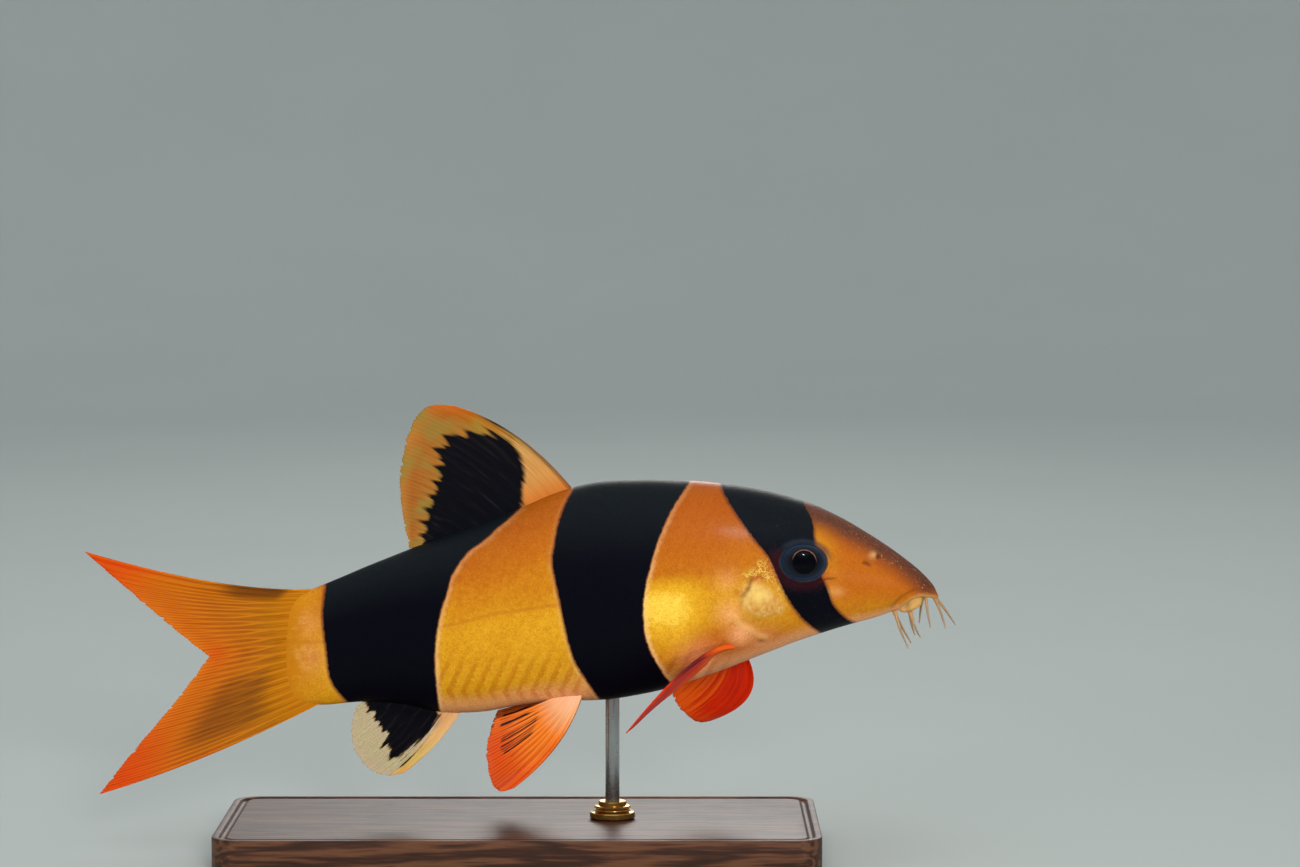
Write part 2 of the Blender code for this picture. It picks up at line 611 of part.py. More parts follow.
def main():
    for obj in list(bpy.data.objects):
        bpy.data.objects.remove(obj)

    skin_cutter = body("skin_cutter", grow=GAP)
    orbits = [orbit_rim(side, GAP) for side in (-1, 1)]
    boolean(skin_cutter, "UNION", [body("covered", grow=GAP, gill_cover=True)] + orbits + lips(GAP))
    keep_largest(skin_cutter)

    flesh(skin_cutter)
    for side, word in ((-1, "right"), (1, "left")):
        eye(f"eye_{word}", side, finish="eye")

    growths = [dorsal_fin(), anal_fin(), *caudal_fin(), pectoral_fin_right(), pectoral_fin_left()]
    growths.append(pelvic_fin("pelvic_fin_right", -1, 4.6))
    growths.append(pelvic_fin("pelvic_fin_left", 1, 5.4))
    for side, word in ((-1, "right"), (1, "left")):
        for stem, root, middle, tip, swing in BARBELS:
            growths.append(barbel(f"{stem}_{word}", side, root, middle, tip, swing))
    for growth in growths:
        boolean(growth, "DIFFERENCE", [copy_of(skin_cutter)])
        keep_largest(growth)
    stand(skin_cutter)
    bpy.data.objects.remove(skin_cutter)

    loach = bpy.data.collections.new("clown_loach")
    bpy.context.scene.collection.children.link(loach)
    for obj in list(bpy.context.scene.collection.objects):
        bpy.context.scene.collection.objects.unlink(obj)
        loach.objects.link(obj)
        obj.data.shade_smooth()
        obj.data.set_sharp_from_angle(angle=math.radians(35))


main()
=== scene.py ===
# %% [markdown]
# A clown loach 120 mm long, made as a museum makes a fish: a painted body on a small wooden stand.
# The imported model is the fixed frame. It says where everything is, and this script adds the looks:
# one fine skin in place of the plain flesh, fins with branching rays, wet eyes, barbels and the stand.
# Sizes are written in millimetres, as a model maker would write them, and become metres at the end.

# %% Load the fixed frame
import math

import bmesh
import bpy
from mathutils import Matrix, Vector, noise


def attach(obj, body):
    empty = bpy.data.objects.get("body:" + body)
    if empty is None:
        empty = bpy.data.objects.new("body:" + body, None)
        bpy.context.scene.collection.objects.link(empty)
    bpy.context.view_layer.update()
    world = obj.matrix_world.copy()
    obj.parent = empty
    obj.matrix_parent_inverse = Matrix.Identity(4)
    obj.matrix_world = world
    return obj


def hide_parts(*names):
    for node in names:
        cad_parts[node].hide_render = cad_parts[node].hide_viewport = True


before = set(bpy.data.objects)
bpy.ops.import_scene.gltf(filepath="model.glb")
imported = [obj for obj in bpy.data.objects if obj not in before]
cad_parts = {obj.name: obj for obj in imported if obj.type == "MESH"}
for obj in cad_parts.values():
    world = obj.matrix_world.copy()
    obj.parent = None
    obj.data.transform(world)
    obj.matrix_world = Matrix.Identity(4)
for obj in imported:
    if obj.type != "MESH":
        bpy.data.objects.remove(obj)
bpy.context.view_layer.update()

MM = 0.001
SIDES = ((-1, "right"), (1, "left"))
print("nodes in the frame:", len(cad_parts))

# %% [markdown]
# The floor and the backdrop are one pale bowl. A photographer bends a sheet of paper up behind a small
# object, so that the floor goes over into the wall without an edge. Here the sheet is a profile spun all
# the way round, so the view is as plain from the back as from the front. The bowl is open above, where a
# soft sky looks in. Its paint is made with a few helpers that every later material uses too.

# %% Colours and the links between nodes


def paint(red, green, blue):
    """A colour as a painter reads it, from 0 to 255, made linear for the shader."""
    linear = []
    for channel in (red, green, blue):
        share = channel / 255
        linear.append(share / 12.92 if share <= 0.04045 else ((share + 0.055) / 1.055) ** 2.4)
    return (*linear, 1.0)


def put(tree, socket, value):
    """Links a socket to another node's output, or sets it to a plain value."""
    if isinstance(value, bpy.types.NodeSocket):
        tree.links.new(value, socket)
    else:
        socket.default_value = value


def add(tree, kind, inputs=None, **settings):
    node = tree.nodes.new(kind)
    for setting, value in settings.items():
        setattr(node, setting, value)
    for socket, value in (inputs or {}).items():
        put(tree, node.inputs[socket], value)
    return node


# %% Sums, mixes and ramps


def calc(tree, operation, a, b=0.0, clamp=False):
    node = add(tree, "ShaderNodeMath", {0: a, 1: b}, operation=operation, use_clamp=clamp)
    return node.outputs[0]


def times(tree, first, *others):
    """The product of two or more values."""
    for other in others:
        first = calc(tree, "MULTIPLY", first, other)
    return first


def plus(tree, first, *others):
    """The sum of two or more values."""
    for other in others:
        first = calc(tree, "ADD", first, other)
    return first


def mix(tree, share, a, b, blend_type="MIX"):
    """Two colours mixed by a share. Sockets 6 and 7 are the node's colours, and output 2 is their mix."""
    node = add(tree, "ShaderNodeMix", data_type="RGBA", blend_type=blend_type)
    for socket, value in ((0, share), (6, a), (7, b)):
        put(tree, node.inputs[socket], value)
    return node.outputs[2]


def span(tree, value, low, high, start=0.0, end=1.0):
    """A value made a smooth share as it goes from low to high."""
    inputs = {"Value": value, "From Min": low, "From Max": high, "To Min": start, "To Max": end}
    return add(tree, "ShaderNodeMapRange", inputs, interpolation_type="SMOOTHSTEP").outputs[0]


def scale_by(tree, value, low, high):
    """A value from 0 to 1 stretched to run from low to high."""
    inputs = {"Value": value, "To Min": low, "To Max": high}
    return add(tree, "ShaderNodeMapRange", inputs).outputs[0]


def grade(tree, value, stops):
    """A colour ramp with named stops."""
    node = add(tree, "ShaderNodeValToRGB", {"Fac": value})
    while len(node.color_ramp.elements) < len(stops):
        node.color_ramp.elements.new(0.5)
    for element, (place, colour) in zip(node.color_ramp.elements, stops):
        element.position = place
        element.color = colour
    return node.outputs["Color"]


# %% What a material reads


def read(tree, name):
    """A number that the mesh keeps at each of its points."""
    return add(tree, "ShaderNodeAttribute", attribute_name=name).outputs["Fac"]


def in_millimetres(tree, stretch=(1.0, 1.0, 1.0)):
    """The place on the piece, in millimetres."""
    place = add(tree, "ShaderNodeTexCoord").outputs["Object"]
    factors = tuple(1000 * share for share in stretch)
    return add(tree, "ShaderNodeVectorMath", {0: place, 1: factors}, operation="MULTIPLY").outputs[0]


def cloud(tree, vector, scale, detail=2.0, rough=0.5, distortion=0.0):
    """Soft noise from 0 to 1."""
    inputs = {"Vector": vector, "Scale": scale, "Detail": detail, "Roughness": rough}
    inputs["Distortion"] = distortion
    return add(tree, "ShaderNodeTexNoise", inputs).outputs["Fac"]


# %% A material and its relief


def new_material(name, **plain):
    """A material with its Principled shader, whose plain values are set on its own sockets."""
    made = bpy.data.materials.new(name)
    made.use_nodes = True
    shader = made.node_tree.nodes["Principled BSDF"]
    for socket, value in plain.items():
        shader.inputs[socket.replace("_", " ")].default_value = value
    return made, made.node_tree, shader


def bumped(tree, shader, height, distance, normal=None):
    """Bump from a height that runs from 0 to 1, its full rise given in millimetres."""
    bump = add(tree, "ShaderNodeBump", {"Strength": 1.0, "Distance": distance * MM, "Height": height})
    if normal is not None:
        put(tree, bump.inputs["Normal"], normal)
    put(tree, shader.inputs["Normal"], bump.outputs[0])
    return bump.outputs[0]


# %% From a mesh to a piece that rides on the body


def finished(name, bm, material):
    """A bmesh in millimetres, made an object in metres that sits at the origin."""
    bmesh.ops.scale(bm, vec=(MM, MM, MM), verts=bm.verts)
    mesh = bpy.data.meshes.new(name)
    bm.to_mesh(mesh)
    bm.free()
    piece = bpy.data.objects.new(name, mesh)
    bpy.context.scene.collection.objects.link(piece)
    mesh.materials.append(material)
    mesh.shade_smooth()
    return piece


def placed(piece, slot, *nodes):
    """The piece rides on the one body and stands for its nodes, which it hides. Its slot is not used."""
    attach(piece, "root")
    if nodes:
        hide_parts(*nodes)
    print(piece.name, "has", sum(len(face.vertices) - 2 for face in piece.data.polygons), "triangles")


# %% The bowl of the stage
FLOOR_RADIUS, BOWL_RADIUS, BOWL_HEIGHT = 950.0, 2100.0, 1700.0
CURVE_STEPS, ROUND_STEPS = 16, 96

paper, tree, shader = new_material("pale_paper", Roughness=0.9, IOR=1.3)
grain = cloud(tree, in_millimetres(tree), 0.01, detail=3.0)
put(tree, shader.inputs["Base Color"], mix(tree, grain, paint(180, 188, 185), paint(186, 194, 191)))

bm = bmesh.new()
outline = [(0.0, 0.0), (FLOOR_RADIUS, 0.0)]
for step in range(1, CURVE_STEPS + 1):
    turn = math.pi / 2 * step / CURVE_STEPS
    across = FLOOR_RADIUS + (BOWL_RADIUS - FLOOR_RADIUS) * math.sin(turn)
    outline.append((across, BOWL_HEIGHT * (1 - math.cos(turn))))
corners = [bm.verts.new((across, 0, up)) for across, up in outline]
edges = [bm.edges.new(pair) for pair in zip(corners, corners[1:])]
bmesh.ops.spin(
    bm, geom=corners + edges, cent=(0, 0, 0), axis=(0, 0, 1), angle=math.tau, steps=ROUND_STEPS,
    use_merge=True,
)
bmesh.ops.remove_doubles(bm, verts=bm.verts, dist=0.01)
bmesh.ops.recalc_face_normals(bm, faces=bm.faces)
if min(bm.faces, key=lambda face: face.calc_center_median().length).normal.z < 0:
    bmesh.ops.reverse_faces(bm, faces=bm.faces)
stage = finished("stage_bowl", bm, paper)
print("the bowl is", round(2 * BOWL_RADIUS * MM, 2), "m across")

# %% [markdown]
# The camera stands where the photographer's did, a little above the fish and straight beside it. Its
# frame is 182.5 mm wide at the fish. A soft sky lights the paper evenly on every side. Three lamps stand
# before the fish: the strongest a little above it, one at its tail and one low at its head. A wide one
# behind lights its far side and its back. Each has a grid over it, as a photographer's lamp has, which
# keeps its light near the fish. The three in front don't show in reflections, so the wet skin has no hot
# spots. A small blue one gives no light but its reflection, most of all in the eye. Each row has a
# lamp's place, width, spread in degrees, power and colour.

# %% Camera
AIM = Vector((18.3, 0.0, 59.4)) * MM
CAMERA_RISE, CAMERA_REACH = math.radians(4), 0.6
FRAME_WIDTH, SENSOR = 182.5 * MM, 36.0

camera_data = bpy.data.cameras.new("camera")
camera_data.sensor_width = SENSOR
camera_data.lens = SENSOR * CAMERA_REACH / FRAME_WIDTH
camera_data.clip_start = 0.02
camera = bpy.data.objects.new("camera", camera_data)
camera.location = AIM + Vector((0, -math.cos(CAMERA_RISE), math.sin(CAMERA_RISE))) * CAMERA_REACH
camera.rotation_euler = (AIM - camera.location).to_track_quat("-Z", "Y").to_euler()
bpy.context.scene.collection.objects.link(camera)
bpy.context.scene.camera = camera

print("lens", round(camera_data.lens, 1), "mm")

# %% Lamps and sky
LAMP_TARGET = Vector((0, 0, 0.03))
SKY_STRENGTH = 0.8
LAMPS = [
    ("lamp_key", (0.16, -0.80, 0.24), 0.16, 50, 0.25, (1.0, 0.98, 0.95)),
    ("lamp_fill", (-0.62, -0.50, 0.14), 0.30, 50, 0.17, (0.98, 0.98, 1.0)),
    ("lamp_low", (0.42, -0.68, 0.06), 0.24, 50, 0.24, (1.0, 0.98, 0.95)),
    ("lamp_far", (0.05, 1.25, 0.62), 0.62, 36, 0.36, (1.0, 0.98, 0.95)),
    ("lamp_glint", (0.22, -0.60, 0.60), 0.05, 180, 2.0, (0.70, 0.86, 1.0)),
]
for name, place, size, spread, power, colour in LAMPS:
    lamp_data = bpy.data.lights.new(name, "AREA")
    lamp_data.shape = "DISK"
    lamp_data.size = size
    lamp_data.spread = math.radians(spread)
    lamp_data.energy = power
    lamp_data.color = colour
    lamp = bpy.data.objects.new(name, lamp_data)
    lamp.location = place
    lamp.rotation_euler = (LAMP_TARGET - lamp.location).to_track_quat("-Z", "Y").to_euler()
    lamp.visible_camera = False
    lamp.visible_glossy = name in ("lamp_far", "lamp_glint")
    lamp.visible_diffuse = name != "lamp_glint"
    bpy.context.scene.collection.objects.link(lamp)

world = bpy.data.worlds.new("soft_sky")
world.use_nodes = True
sky = world.node_tree.nodes["Background"].inputs
sky["Color"].default_value = (0.97, 0.98, 1.0, 1.0)
sky["Strength"].default_value = SKY_STRENGTH
bpy.context.scene.world = world
bpy.context.scene.view_settings.view_transform = "Standard"
print("lamps:", ", ".join(name for name, *_ in LAMPS))

# %% [markdown]
# The body is one skin. A fish has no edges to start from, so its form comes from sections: each row
# gives one place along the body, its back, its belly, half its width, how high its widest point is, and
# how full it is above and below. The rows are the solid's, with a thinner end at the tail, so the skin
# lies where the solid does. A sphere has the right topology, one pole for the snout and one for the
# tail, so its rings are moved onto the sections.

# %% Sections of the body
BODY = [
    (-33.3, 34.6, 23.2, 0.18, 0.50, 2.0, 2.0),
    (-32.4, 35.6, 22.1, 0.60, 0.50, 2.0, 2.0),
    (-30.8, 36.8, 21.3, 1.40, 0.50, 2.0, 2.0),
    (-27.6, 38.1, 21.1, 2.45, 0.50, 2.0, 2.0),
    (-22.2, 40.4, 21.5, 4.00, 0.50, 1.95, 2.0),
    (-16.8, 42.6, 21.2, 5.30, 0.50, 1.9, 2.0),
    (-11.2, 44.7, 20.1, 6.50, 0.50, 1.9, 2.0),
    (-5.5, 46.7, 20.1, 7.35, 0.49, 1.9, 2.05),
    (0.1, 49.0, 21.1, 8.00, 0.48, 1.9, 2.1),
    (5.7, 51.3, 21.7, 8.50, 0.48, 1.9, 2.1),
    (11.3, 52.6, 21.8, 8.85, 0.47, 1.9, 2.15),
    (16.9, 52.9, 22.6, 9.05, 0.46, 1.9, 2.2),
    (22.5, 52.8, 24.0, 9.10, 0.45, 1.95, 2.25),
    (27.4, 52.5, 25.7, 8.90, 0.44, 2.0, 2.3),
    (31.6, 51.9, 27.3, 8.50, 0.43, 2.0, 2.3),
    (35.2, 51.2, 28.7, 7.90, 0.43, 2.0, 2.3),
    (38.2, 50.4, 29.9, 7.25, 0.43, 2.05, 2.3),
    (41.1, 49.5, 30.9, 6.60, 0.43, 2.1, 2.3),
    (43.9, 48.2, 31.8, 5.95, 0.43, 2.1, 2.3),
    (46.4, 46.9, 32.5, 5.35, 0.43, 2.1, 2.3),
    (48.9, 45.4, 33.2, 4.80, 0.43, 2.1, 2.25),
    (51.2, 43.9, 33.9, 4.30, 0.43, 2.1, 2.2),
    (53.1, 42.6, 34.7, 3.85, 0.42, 2.05, 2.15),
    (54.8, 41.3, 35.3, 3.35, 0.41, 2.0, 2.1),
    (56.2, 40.1, 35.7, 2.80, 0.40, 2.0, 2.05),
    (57.3, 39.0, 35.9, 2.20, 0.38, 2.0, 2.0),
    (58.15, 38.0, 36.05, 1.45, 0.36, 2.0, 2.0),
    (58.65, 37.2, 36.25, 0.75, 0.36, 2.0, 2.0),
    (58.8, 36.6, 36.6, 0.0, 0.50, 2.0, 2.0),
]


# %% Soft steps and smooth curves


def smooth_step(low, high, value):
    t = min(1.0, max(0.0, (value - low) / (high - low)))
    return t * t * (3 - 2 * t)


def hump(distance, width):
    """1 at no distance, and soon nothing past the width."""
    return math.exp(-((distance / width) ** 2))


def spline(points, place):
    """A smooth curve through the points, read at a place that counts them from 0."""
    last = len(points) - 1
    i = min(int(place), last - 1)
    t = place - i
    before, start, end, after = (points[min(max(k, 0), last)] for k in (i - 1, i, i + 1, i + 2))
    return tuple(
        0.5 * (2 * b + (c - a) * t + (2 * a - 5 * b + 4 * c - d) * t * t + (3 * b - a - 3 * c + d) * t**3)
        for a, b, c, d in zip(before, start, end, after)
    )


# %% Places on the body's surface


def section_point(station, angle):
    """A point of a section, with angle 0 on the back and a half turn on the belly."""
    x, top, bottom, half, level, above, below = station
    middle = bottom + (top - bottom) * level
    s, c = math.sin(angle), math.cos(angle)
    fullness = above if c >= 0 else below
    reach = (top - middle) if c >= 0 else (middle - bottom)
    y = half * math.copysign(abs(s) ** (2 / fullness), s)
    return Vector((x, y, middle + reach * math.copysign(abs(c) ** (2 / fullness), c)))


def station_at(x):
    """The body's section at a place along X, found by halving."""
    low, high = 0.0, len(BODY) - 1.0
    for _ in range(40):
        middle = (low + high) / 2
        low, high = (middle, high) if spline(BODY, middle)[0] < x else (low, middle)
    return spline(BODY, low)


def flank(x, z, side):
    """The point of the body's surface at x and z, on the left (1) or the right (-1)."""
    _, top, bottom, half, level, above, below = station_at(x)
    middle = bottom + (top - bottom) * level
    reach, fullness = (top - middle, above) if z >= middle else (middle - bottom, below)
    inside = max(0.0, 1 - min(1.0, abs(z - middle) / reach) ** fullness)
    return Vector((x, side * half * inside ** (1 / fullness), z))


def flank_normal(x, z, side, step=0.4):
    along = flank(x + step, z, side) - flank(x - step, z, side)
    up = flank(x, z + step, side) - flank(x, z - step, side)
    normal = along.cross(up).normalized()
    return normal if normal.y * side > 0 else -normal


# %% [markdown]
# The sphere's rings go where they are needed. The head has small forms, so its rings lie close, and the
# trunk is plain, so they lie wider there. The body is sampled finely from the snout to the tail, and a
# ring is laid each time that the samples have run one ring's gap.

# %% Where the rings go
RINGS, RING_SIDES, SAMPLE_STEPS = 370, 256, 2400
HEAD_GAP, TRUNK_GAP_MORE = 0.15, 0.29


def ring_gap(x):
    """The wanted gap between rings: close on the head, wider along the trunk."""
    return HEAD_GAP + TRUNK_GAP_MORE * (1 - smooth_step(24.0, 37.0, x))


samples = [spline(BODY, (len(BODY) - 1) * (1 - k / SAMPLE_STEPS)) for k in range(SAMPLE_STEPS + 1)]
reached = [0.0]
for ahead, behind in zip(samples, samples[1:]):
    rise = max(abs(behind[1] - ahead[1]), abs(behind[2] - ahead[2]))
    reached.append(reached[-1] + math.hypot(behind[0] - ahead[0], rise) / ring_gap(behind[0]))
stations, k = [samples[0]], 0
for ring in range(1, RINGS):
    wanted = reached[-1] * ring / (RINGS - 1)
    while k < SAMPLE_STEPS - 1 and reached[k + 1] < wanted:
        k += 1
    stations.append(samples[min(k + 1, SAMPLE_STEPS)])
print("rings:", len(stations), "wanted by their gaps:", round(reached[-1]))

# %% [markdown]
# Colour follows lines drawn on the side of the fish. Three black bands cross it, and each border is a
# short list of places along X and Z. A border read at a height gives its place along X, so the distance
# to it is simple to work out. The skin keeps these distances as attributes, one number at each point,
# and the shader turns them into crisp edges. The same lines serve both sides and the whole way round.

# %% Lines drawn on the side of the fish
HEAD_BAND = (
    [(28.0, 54.0), (28.4, 52.0), (29.6, 49.7), (32.5, 45.6), (34.8, 42.7), (36.4, 39.0), (37.6, 36.8),
     (39.5, 34.1), (42.2, 31.7), (44.6, 29.5)],
    [(39.4, 51.5), (40.0, 49.5), (41.0, 47.4), (41.1, 45.6), (41.3, 43.0), (42.1, 40.0), (43.0, 38.0),
     (43.8, 35.8), (45.3, 34.0), (47.4, 32.5), (50.0, 31.0)],
)
MIDDLE_BAND = (
    [(8.6, 54.0), (7.9, 52.3), (5.9, 48.3), (5.0, 44.1), (4.8, 41.6), (5.8, 36.7), (6.8, 31.8), (8.0, 27.9),
     (10.2, 24.1), (11.9, 21.2)],
    [(24.4, 54.0), (23.6, 52.5), (21.4, 49.4), (19.4, 45.1), (18.2, 41.2), (17.5, 38.0), (17.3, 35.1),
     (17.6, 31.8), (18.9, 28.3), (21.1, 24.7), (22.6, 23.0)],
)
REAR_BAND = (
    [(-27.0, 41.0), (-27.2, 38.0), (-27.6, 34.0), (-27.1, 29.6), (-26.5, 25.0), (-24.7, 22.2), (-23.2, 20.5)],
    [(1.0, 50.5), (-0.1, 48.9), (-3.2, 46.3), (-4.7, 44.9), (-7.3, 43.0), (-9.4, 39.9), (-9.9, 38.0),
     (-11.0, 34.5), (-11.7, 30.0), (-11.7, 25.4), (-11.4, 21.2), (-11.2, 19.0)],
)
GILL_EDGE = [(31.0, 60.0), (31.2, 52.0), (31.9, 46.0), (32.3, 39.4), (30.9, 36.8), (30.8, 33.6), (32.0, 31.4),
             (34.2, 29.4), (35.6, 27.0), (36.5, 18.0)]


# %% How far a place is from a line


class Border:
    """A line drawn down the side of the fish, read at a height."""

    def __init__(self, points, per_span=10):
        count = (len(points) - 1) * per_span
        self.line = [spline(points, k / per_span) for k in range(count + 1)]

    def at(self, z):
        """The border's place along X at a height, and how much of a level distance is across it."""
        low, high = 0, len(self.line) - 1
        while high - low > 1:
            middle = (low + high) // 2
            low, high = (middle, high) if self.line[middle][1] > z else (low, middle)
        (x1, z1), (x2, z2) = self.line[low], self.line[high]
        share = min(1.0, max(0.0, (z - z1) / (z2 - z1)))
        return x1 + (x2 - x1) * share, abs(z2 - z1) / math.hypot(x2 - x1, z2 - z1)

    def ahead(self, x, z):
        """How far a place is ahead of the border."""
        place, across = self.at(z)
        return (x - place) * across


bands = [(Border(rear), Border(front)) for rear, front in (HEAD_BAND, MIDDLE_BAND, REAR_BAND)]
gill_border = Border(GILL_EDGE, 4)
HEMS = ((0.0, 0.0), (0.4, 1.0), (0.1, 0.9))


def band_distance(x, z):
    """How deep a place is inside the nearest band, and how pale the hem of its nearer border is."""
    nearest = (-99.0, 0.0)
    for (rear, front), (rear_hem, front_hem) in zip(bands, HEMS):
        from_rear, to_front = rear.ahead(x, z), -front.ahead(x, z)
        inside = min(from_rear, to_front)
        if inside > nearest[0]:
            nearest = (inside, front_hem if to_front < from_rear else rear_hem)
    return nearest


def line_distance(x, z, line):
    """The distance to a line of places, in the side view, and the share of its length reached there."""
    best, share = 99.0, 0.0
    for k, ((x1, z1), (x2, z2)) in enumerate(zip(line, line[1:])):
        run, rise = x2 - x1, z2 - z1
        t = min(1.0, max(0.0, ((x - x1) * run + (z - z1) * rise) / (run * run + rise * rise)))
        away = math.hypot(x - x1 - run * t, z - z1 - rise * t)
        if away < best:
            best, share = away, (k + t) / (len(line) - 1)
    return best, share


rear_edge, front_edge = (border.at(40.0)[0] for border in bands[1])
print("the middle band is", round(front_edge - rear_edge, 1), "mm wide at mid height")

# %% [markdown]
# Relief comes next: what a sculptor would cut into the smooth body. The gill cover stands half a
# millimetre proud and ends in a free edge. The skin dips under the eyeball and rises in a soft rim
# round it. The nostrils are pits with raised rims, a slit below the eye hides the loach's spine, and
# the mouth is an arch under the snout. Each is a small push along the skin's normal.

# %% The eye's place in the head
EYE_X, EYE_Z, EYE_OUT = 39.75, 41.95, -1.0
EYE_HALF_LENGTH, EYE_HALF_HEIGHT, EYE_HALF_DEPTH = 3.4, 2.65, 1.9
PUPIL_RADIUS = 1.72


def eye_turn(side):
    """Turns a ball's Y axis to look out of the head, a little forwards and up."""
    outward = Vector((0.13, side, 0.12)).normalized()
    forward = Vector((1, -side * 0.13, 0)).normalized()
    return Matrix((forward, outward, forward.cross(outward))).transposed()


eye_centres = {}
for side in (-1, 1):
    eye_centres[side] = flank(EYE_X, EYE_Z, side) + flank_normal(EYE_X, EYE_Z, side) * EYE_OUT
eye_turns = {side: eye_turn(side) for side in (-1, 1)}
to_eye = {side: eye_turns[side].transposed() for side in (-1, 1)}


def eye_share(point):
    """How far a point is from the eye's middle, as a share of the eye's own outline."""
    side = 1 if point.y > 0 else -1
    along, _, up = to_eye[side] @ (point - eye_centres[side])
    return math.hypot(along / EYE_HALF_LENGTH, up / EYE_HALF_HEIGHT)


# %% Lines of the head's relief
SPINE_SLIT = [(41.6, 39.1), (42.9, 39.5), (44.5, 39.6)]
REAR_NOSTRIL = [(47.9, 41.7), (48.6, 41.6), (49.2, 41.1)]
FRONT_NOSTRIL, NOSTRIL_FLAP = (50.2, 42.4), (49.4, 42.6)
LIP_LINE = [
    (52.6, 33.9), (53.3, 34.7), (54.2, 35.6), (55.1, 36.25), (56.1, 36.6), (57.1, 36.5), (58.0, 36.25),
    (58.7, 35.9),
]
GILL_FOLD = [(30.1, 34.5), (30.8, 33.4), (31.9, 32.6), (33.2, 31.9), (34.2, 31.4)]
GILL_PLATE = [
    (31.0, 39.1), (30.5, 37.0), (30.9, 35.8), (31.8, 35.05), (34.0, 34.2), (36.4, 34.6), (37.4, 35.8),
    (36.1, 37.4), (34.5, 38.9), (33.2, 39.6), (31.0, 39.1),
]
# The place of the painted highlight on the gill plate.
PLATE_HIGHLIGHT_SPOT = (33.3, 37.5)
GOLD_FLECKS = [
    (31.0, 40.3), (32.4, 41.0), (33.4, 42.3), (34.6, 42.0), (35.4, 40.6), (35.9, 39.2), (34.9, 39.3),
    (33.2, 39.9), (31.6, 39.5), (31.0, 40.3),
]
RED_CRESCENT = [(32.1, 39.3), (32.8, 39.95), (33.6, 40.0), (34.5, 39.5)]
MOUTH_RISE = math.radians(25)
LOWER_LIP = ((55.0, 35.35), (1.9, 1.1, 0.9), 0.6)


def inside_outline(x, z, outline):
    """True where a place is inside a closed outline."""
    inside = False
    for (x1, z1), (x2, z2) in zip(outline, outline[1:]):
        if (z1 > z) != (z2 > z) and x < x1 + (x2 - x1) * (z - z1) / (z2 - z1):
            inside = not inside
    return inside


def depth_inside(x, z, outline):
    away, _ = line_distance(x, z, outline)
    return away if inside_outline(x, z, outline) else -away


lip_curve = [spline(LIP_LINE, k / 6) for k in range(6 * (len(LIP_LINE) - 1) + 1)]


def lip_height(x, z):
    """How far a place on the snout's side is above the edge of the upper lip."""
    away, _ = line_distance(x, z, lip_curve)
    k = min(range(len(lip_curve)), key=lambda k: abs(lip_curve[k][0] - x))
    return away if z > lip_curve[k][1] else -away


def out_of_ball(point, normal, centre, sizes):
    """How far along the normal the far wall of a stretched ball is. It falls away fast beside the ball."""
    tilt = Matrix.Rotation(MOUTH_RISE, 3, "Y")
    start = Vector([value / size for value, size in zip(tilt @ (point - Vector(centre)), sizes)])
    ray = Vector([value / size for value, size in zip(tilt @ normal, sizes)])
    nearest = -start.dot(ray) / ray.length_squared
    miss = (start + ray * nearest).length
    if miss < 1:
        return nearest + math.sqrt(1 - miss * miss) / ray.length
    return nearest - 3 * (miss - 1) / ray.length


def smooth_max(a, b, soft):
    share = min(1.0, max(0.0, 0.5 + 0.5 * (a - b) / soft))
    return b + (a - b) * share + soft * share * (1 - share)


def mouth_relief(point, normal):
    """The upper lip, the hollow under its edge, and the two cushions of the lower lip."""
    above = lip_height(point.x, point.z)
    here = smooth_step(51.8, 53.2, point.x)
    lip = 0.18 * hump(above - 0.38, 0.34) - 0.07 * hump(above - 1.1, 0.35)
    hollow = -0.65 * (1 - smooth_step(-0.22, 0.12, above))
    lift = (lip + hollow) * here
    (x, z), sizes, spread = LOWER_LIP
    for side in (-1, 1):
        reach = out_of_ball(point, normal, (x, side * spread, z), sizes)
        lift = smooth_max(lift, max(reach, -2.0), 0.35)
    return lift


def slit(x, z, line, width):
    """1 on a drawn line, fading beside it and at both of its ends."""
    away, along = line_distance(x, z, line)
    return hump(away, width) * math.sin(math.pi * along) ** 0.5


def head_relief(point, normal):
    """How far the skin of the head is pushed out or in."""
    x, z = point.x, point.z
    lift = 0.0
    if x < 45:
        share = eye_share(point)
        lift += 0.16 * hump(share - 1.06, 0.10) - 0.72 * (1 - smooth_step(0.86, 0.98, share))
        lift -= 0.12 * slit(x, z, SPINE_SLIT, 0.14)
    elif x < 52:
        lift -= 0.28 * slit(x, z, REAR_NOSTRIL, 0.18)
        lift += 0.30 * hump(math.hypot(x - NOSTRIL_FLAP[0], z - NOSTRIL_FLAP[1]), 0.5)
        away = math.hypot(x - FRONT_NOSTRIL[0], z - FRONT_NOSTRIL[1])
        lift += 0.12 * hump(away - 0.45, 0.2) - 0.32 * hump(away, 0.26)
    if x > 51.5:
        lift += mouth_relief(point, normal)
    return lift


def gill_relief(point):
    """The gill cover, proud towards its free edge, its fold, and the groove behind it."""
    x, z = point.x, point.z
    ahead = gill_border.ahead(x, z)
    level = 1 - smooth_step(0.3, 1.0, abs(z - 37.0) / 4.2)
    cover = 0.5 * (1 - smooth_step(0.0, 8.5, x - 30.9)) * smooth_step(-0.12, 0.16, ahead)
    groove = -0.12 * hump(ahead + 0.22, 0.3)
    fold, _ = line_distance(x, z, GILL_FOLD)
    crinkle = noise.noise(Vector((x * 0.9, z * 1.5, 3.0)))
    plate = smooth_step(-0.5, 1.2, depth_inside(x, z, GILL_PLATE)) * (0.14 + 0.07 * crinkle)
    return (cover + groove) * level + 0.09 * hump(fold, 0.4) - 0.04 * hump(fold - 0.8, 0.35) + plate


